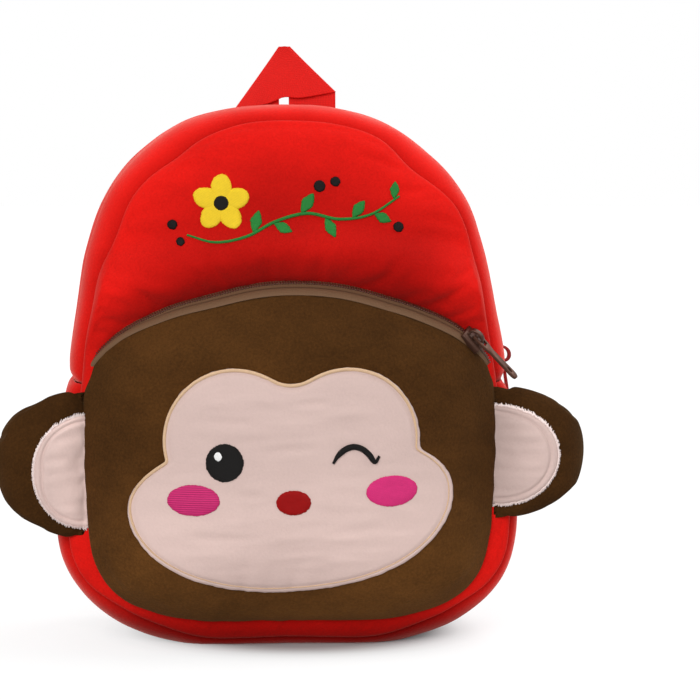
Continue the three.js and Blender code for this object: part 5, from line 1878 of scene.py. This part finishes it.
class BAG_OT_stage(bpy.types.Operator):
    """Pale floor, soft studio light and the camera"""

    bl_idname = "bag.stage"
    bl_label = "Floor, light and camera"

    CAMERA_TURN = -2.5
    CAMERA_RISE = 5.0
    CAMERA_DISTANCE = 1300
    CAMERA_AIM = (0, 0, 120)
    PIXELS_PER_MM = 2.16
    FRAME = 700
    AIM_PIXEL = (286, 373)
    SKY = 0.46
    FLOOR_GLOW = 0.62
    GLOW_LEVEL = 1.32
    # Painted contact shadow on the floor round the base, where the glow is less: its centre, one over its
    # reach, and the glow's share by distance
    BASE_CENTRE = (0.008, 0, 0)
    BASE_SPREAD = (8.2, 9.3, 0)
    CONTACT = [
        (0.33, 0), (0.42, 0.01), (0.48, 0.18), (0.54, 0.46), (0.6, 0.72), (0.68, 0.9), (0.78, 0.98),
        (1, 1),
    ]

    def execute(self, context):
        clear_selection()
        bpy.ops.mesh.primitive_plane_add(size=14)
        floor = named("floor")
        pale = Finish("pale_floor")
        grain = pale.clouds(pale.where(), 30, 2)
        tint = pale.ramp(grain, [(0.3, (0.51, 0.51, 0.51)), (0.7, (0.53, 0.53, 0.53))])
        floor.data.materials.append(pale.done(tint, 0.9, over=lambda cloth: self.light_table(pale, cloth)))

        studio = Finish("studio", bpy.data.worlds.new("studio"))
        sky = studio.node("ShaderNodeBackground", None, {"Color": (1, 1, 1, 1), "Strength": self.SKY})
        backdrop = studio.node("ShaderNodeBackground", None, {"Color": (1, 1, 1, 1)})
        seen = studio.node("ShaderNodeLightPath", out="Is Camera Ray")
        sight = studio.node("ShaderNodeMixShader", None, {0: seen, 1: sky, 2: backdrop})
        studio.node("ShaderNodeOutputWorld", None, {"Surface": sight})
        context.scene.world = studio.owner
        self.sun("key", (-0.35, -1.0, 0.5), 0.72, 40)
        self.sun("top", (0.7, 0.2, 1.0), 0.58, 55)
        self.sun("back", (0.2, 1.0, 0.06), 0.36, 45)
        self.camera(context)
        context.scene.view_settings.view_transform = "Standard"
        return {"FINISHED"}

    def light_table(self, pale, cloth):
        """Lets the camera see the floor part white, as on a light table, with a painted contact shadow close
        round the base where it glows less.
        """
        spot = pale.vector("SUBTRACT", pale.where(), self.BASE_CENTRE)
        spot = pale.vector("MULTIPLY", spot, self.BASE_SPREAD)
        away = pale.vector("LENGTH", spot, out="Value")
        # Painted contact shadow: the glow's share falls close round the base
        open_floor = pale.ramp(away, [(place, (level,) * 3) for place, level in self.CONTACT])
        seen = pale.node("ShaderNodeLightPath", out="Is Camera Ray")
        glow = pale.node("ShaderNodeEmission", None, {"Strength": self.GLOW_LEVEL})
        return pale.node(
            "ShaderNodeMixShader", None, {0: seen * self.FLOOR_GLOW * open_floor, 1: cloth, 2: glow}
        )

    @staticmethod
    def sun(name, spot, level, angle):
        """Soft light from far off; level is how bright it makes a white sheet that faces it."""
        light = bpy.data.lights.new(name, "SUN")
        light.energy = level * math.pi
        light.angle = math.radians(angle)
        lamp = add_object(name, light)
        lamp.location = spot
        lamp.rotation_euler = (-Vector(spot)).to_track_quat("-Z", "Y").to_euler()

    def camera(self, context):
        turn, rise = math.radians(self.CAMERA_TURN), math.radians(self.CAMERA_RISE)
        back = Vector((math.sin(turn) * math.cos(rise), -math.cos(turn) * math.cos(rise), math.sin(rise)))
        data = bpy.data.cameras.new("photo_view")
        focal = self.PIXELS_PER_MM * self.CAMERA_DISTANCE
        data.sensor_width = 36
        data.lens = focal / self.FRAME * data.sensor_width
        camera = add_object("photo_view", data)
        camera.location = (Vector(self.CAMERA_AIM) + back * self.CAMERA_DISTANCE) * MM
        look = (-back).to_track_quat("-Z", "Y").to_matrix()
        offset_x = (self.AIM_PIXEL[0] - self.FRAME / 2) / focal
        offset_y = (self.FRAME / 2 - self.AIM_PIXEL[1]) / focal
        swing = Matrix.Rotation(math.atan(offset_x), 3, "Y") @ Matrix.Rotation(-math.atan(offset_y), 3, "X")
        camera.rotation_euler = (look @ swing).to_euler()
        context.scene.camera = camera


class BAG_PT_panel(bpy.types.Panel):
    """Steps that sew the bag, in order"""

    bl_idname = "BAG_PT_panel"
    bl_label = "Plush school bag"
    bl_space_type = "VIEW_3D"
    bl_region_type = "UI"
    bl_category = "Bag"

    def draw(self, context):
        for step in STEPS:
            self.layout.operator(step.bl_idname)
        for group in (context.scene.bag_sizes, context.scene.bag_colours):
            box = self.layout.box()
            for name in group.bl_rna.properties.keys()[2:]:
                box.prop(group, name)


# Flat cut of each cloth piece: width and length in mm, area in square cm, how it is held, and what holds it
CUTS = {
    "front_panel_plush": (204, 246, 424, "stretched", ["gusset_front_strip_plush", "gusset_lower_plush"]),
    "back_panel_plush": (200, 240, 400, "stretched", ["gusset_back_strip_plush", "gusset_lower_plush"]),
    "gusset_front_strip_plush": (42, 372, 154, "stretched", ["front_panel_plush"]),
    "gusset_back_strip_plush": (31, 372, 113, "stretched", ["back_panel_plush"]),
    "gusset_lower_plush": (88, 392, 340, "stretched", ["front_panel_plush", "back_panel_plush"]),
    "pocket_panel_plush": (204, 174, 294, "stretched", ["front_panel_plush"]),
    "face_patch_plush": (146, 100, 117, "laid", ["pocket_panel_plush"]),
    "inner_ear_left_plush": (26, 52, 11.4, "laid", ["ear_left_plush"]),
    "inner_ear_right_plush": (31, 46, 12, "laid", ["ear_right_plush"]),
    "strap_left_webbing": (25, 376, 94, "hung", ["tri_glide_left_moulded", "gusset_lower_plush"]),
    "strap_right_webbing": (25, 376, 94, "hung", ["tri_glide_right_moulded", "gusset_lower_plush"]),
    "strap_tab_left_webbing": (25, 33.5, 8.3, "folded", ["tri_glide_left_moulded"]),
    "strap_tab_right_webbing": (25, 33.5, 8.3, "folded", ["tri_glide_right_moulded"]),
    "hang_loop_webbing": (44, 14, 5.9, "folded", ["back_panel_plush"]),
    "hang_loop_fold_webbing": (49, 28, 7.4, "folded", ["hang_loop_webbing"]),
}
SEWN_ON = {
    "inner_ear_left_plush": ["inner_ear_left_fringe"],
    "inner_ear_right_plush": ["inner_ear_right_fringe"],
    "face_patch_plush": ["face_edge_stitch"],
}


def declare_cloth():
    for name, (wide, long, area, held, rests_on) in CUTS.items():
        extras = [bpy.data.objects[extra] for extra in SEWN_ON.get(name, [])]
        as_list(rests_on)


STEPS = (
    BAG_OT_panels,
    BAG_OT_gusset,
    BAG_OT_pocket,
    BAG_OT_face,
    BAG_OT_features,
    BAG_OT_sprig,
    BAG_OT_ears,
    BAG_OT_main_zip,
    BAG_OT_pocket_zip,
    BAG_OT_sliders,
    BAG_OT_straps,
    BAG_OT_hang_loop,
    BAG_OT_stage,
)
CLASSES = (BagSizes, BagColours, *STEPS, BAG_PT_panel)


def register():
    for cls in CLASSES:
        bpy.utils.register_class(cls)
    bpy.types.Scene.bag_sizes = PointerProperty(type=BagSizes)
    bpy.types.Scene.bag_colours = PointerProperty(type=BagColours)


def unregister():
    del bpy.types.Scene.bag_colours
    del bpy.types.Scene.bag_sizes
    for cls in reversed(CLASSES):
        bpy.utils.unregister_class(cls)


def main():
    register()
    for step in STEPS:
        group, name = step.bl_idname.split(".")
        getattr(getattr(bpy.ops, group), name)()
    declare_cloth()


if __name__ == "__main__":
    main()
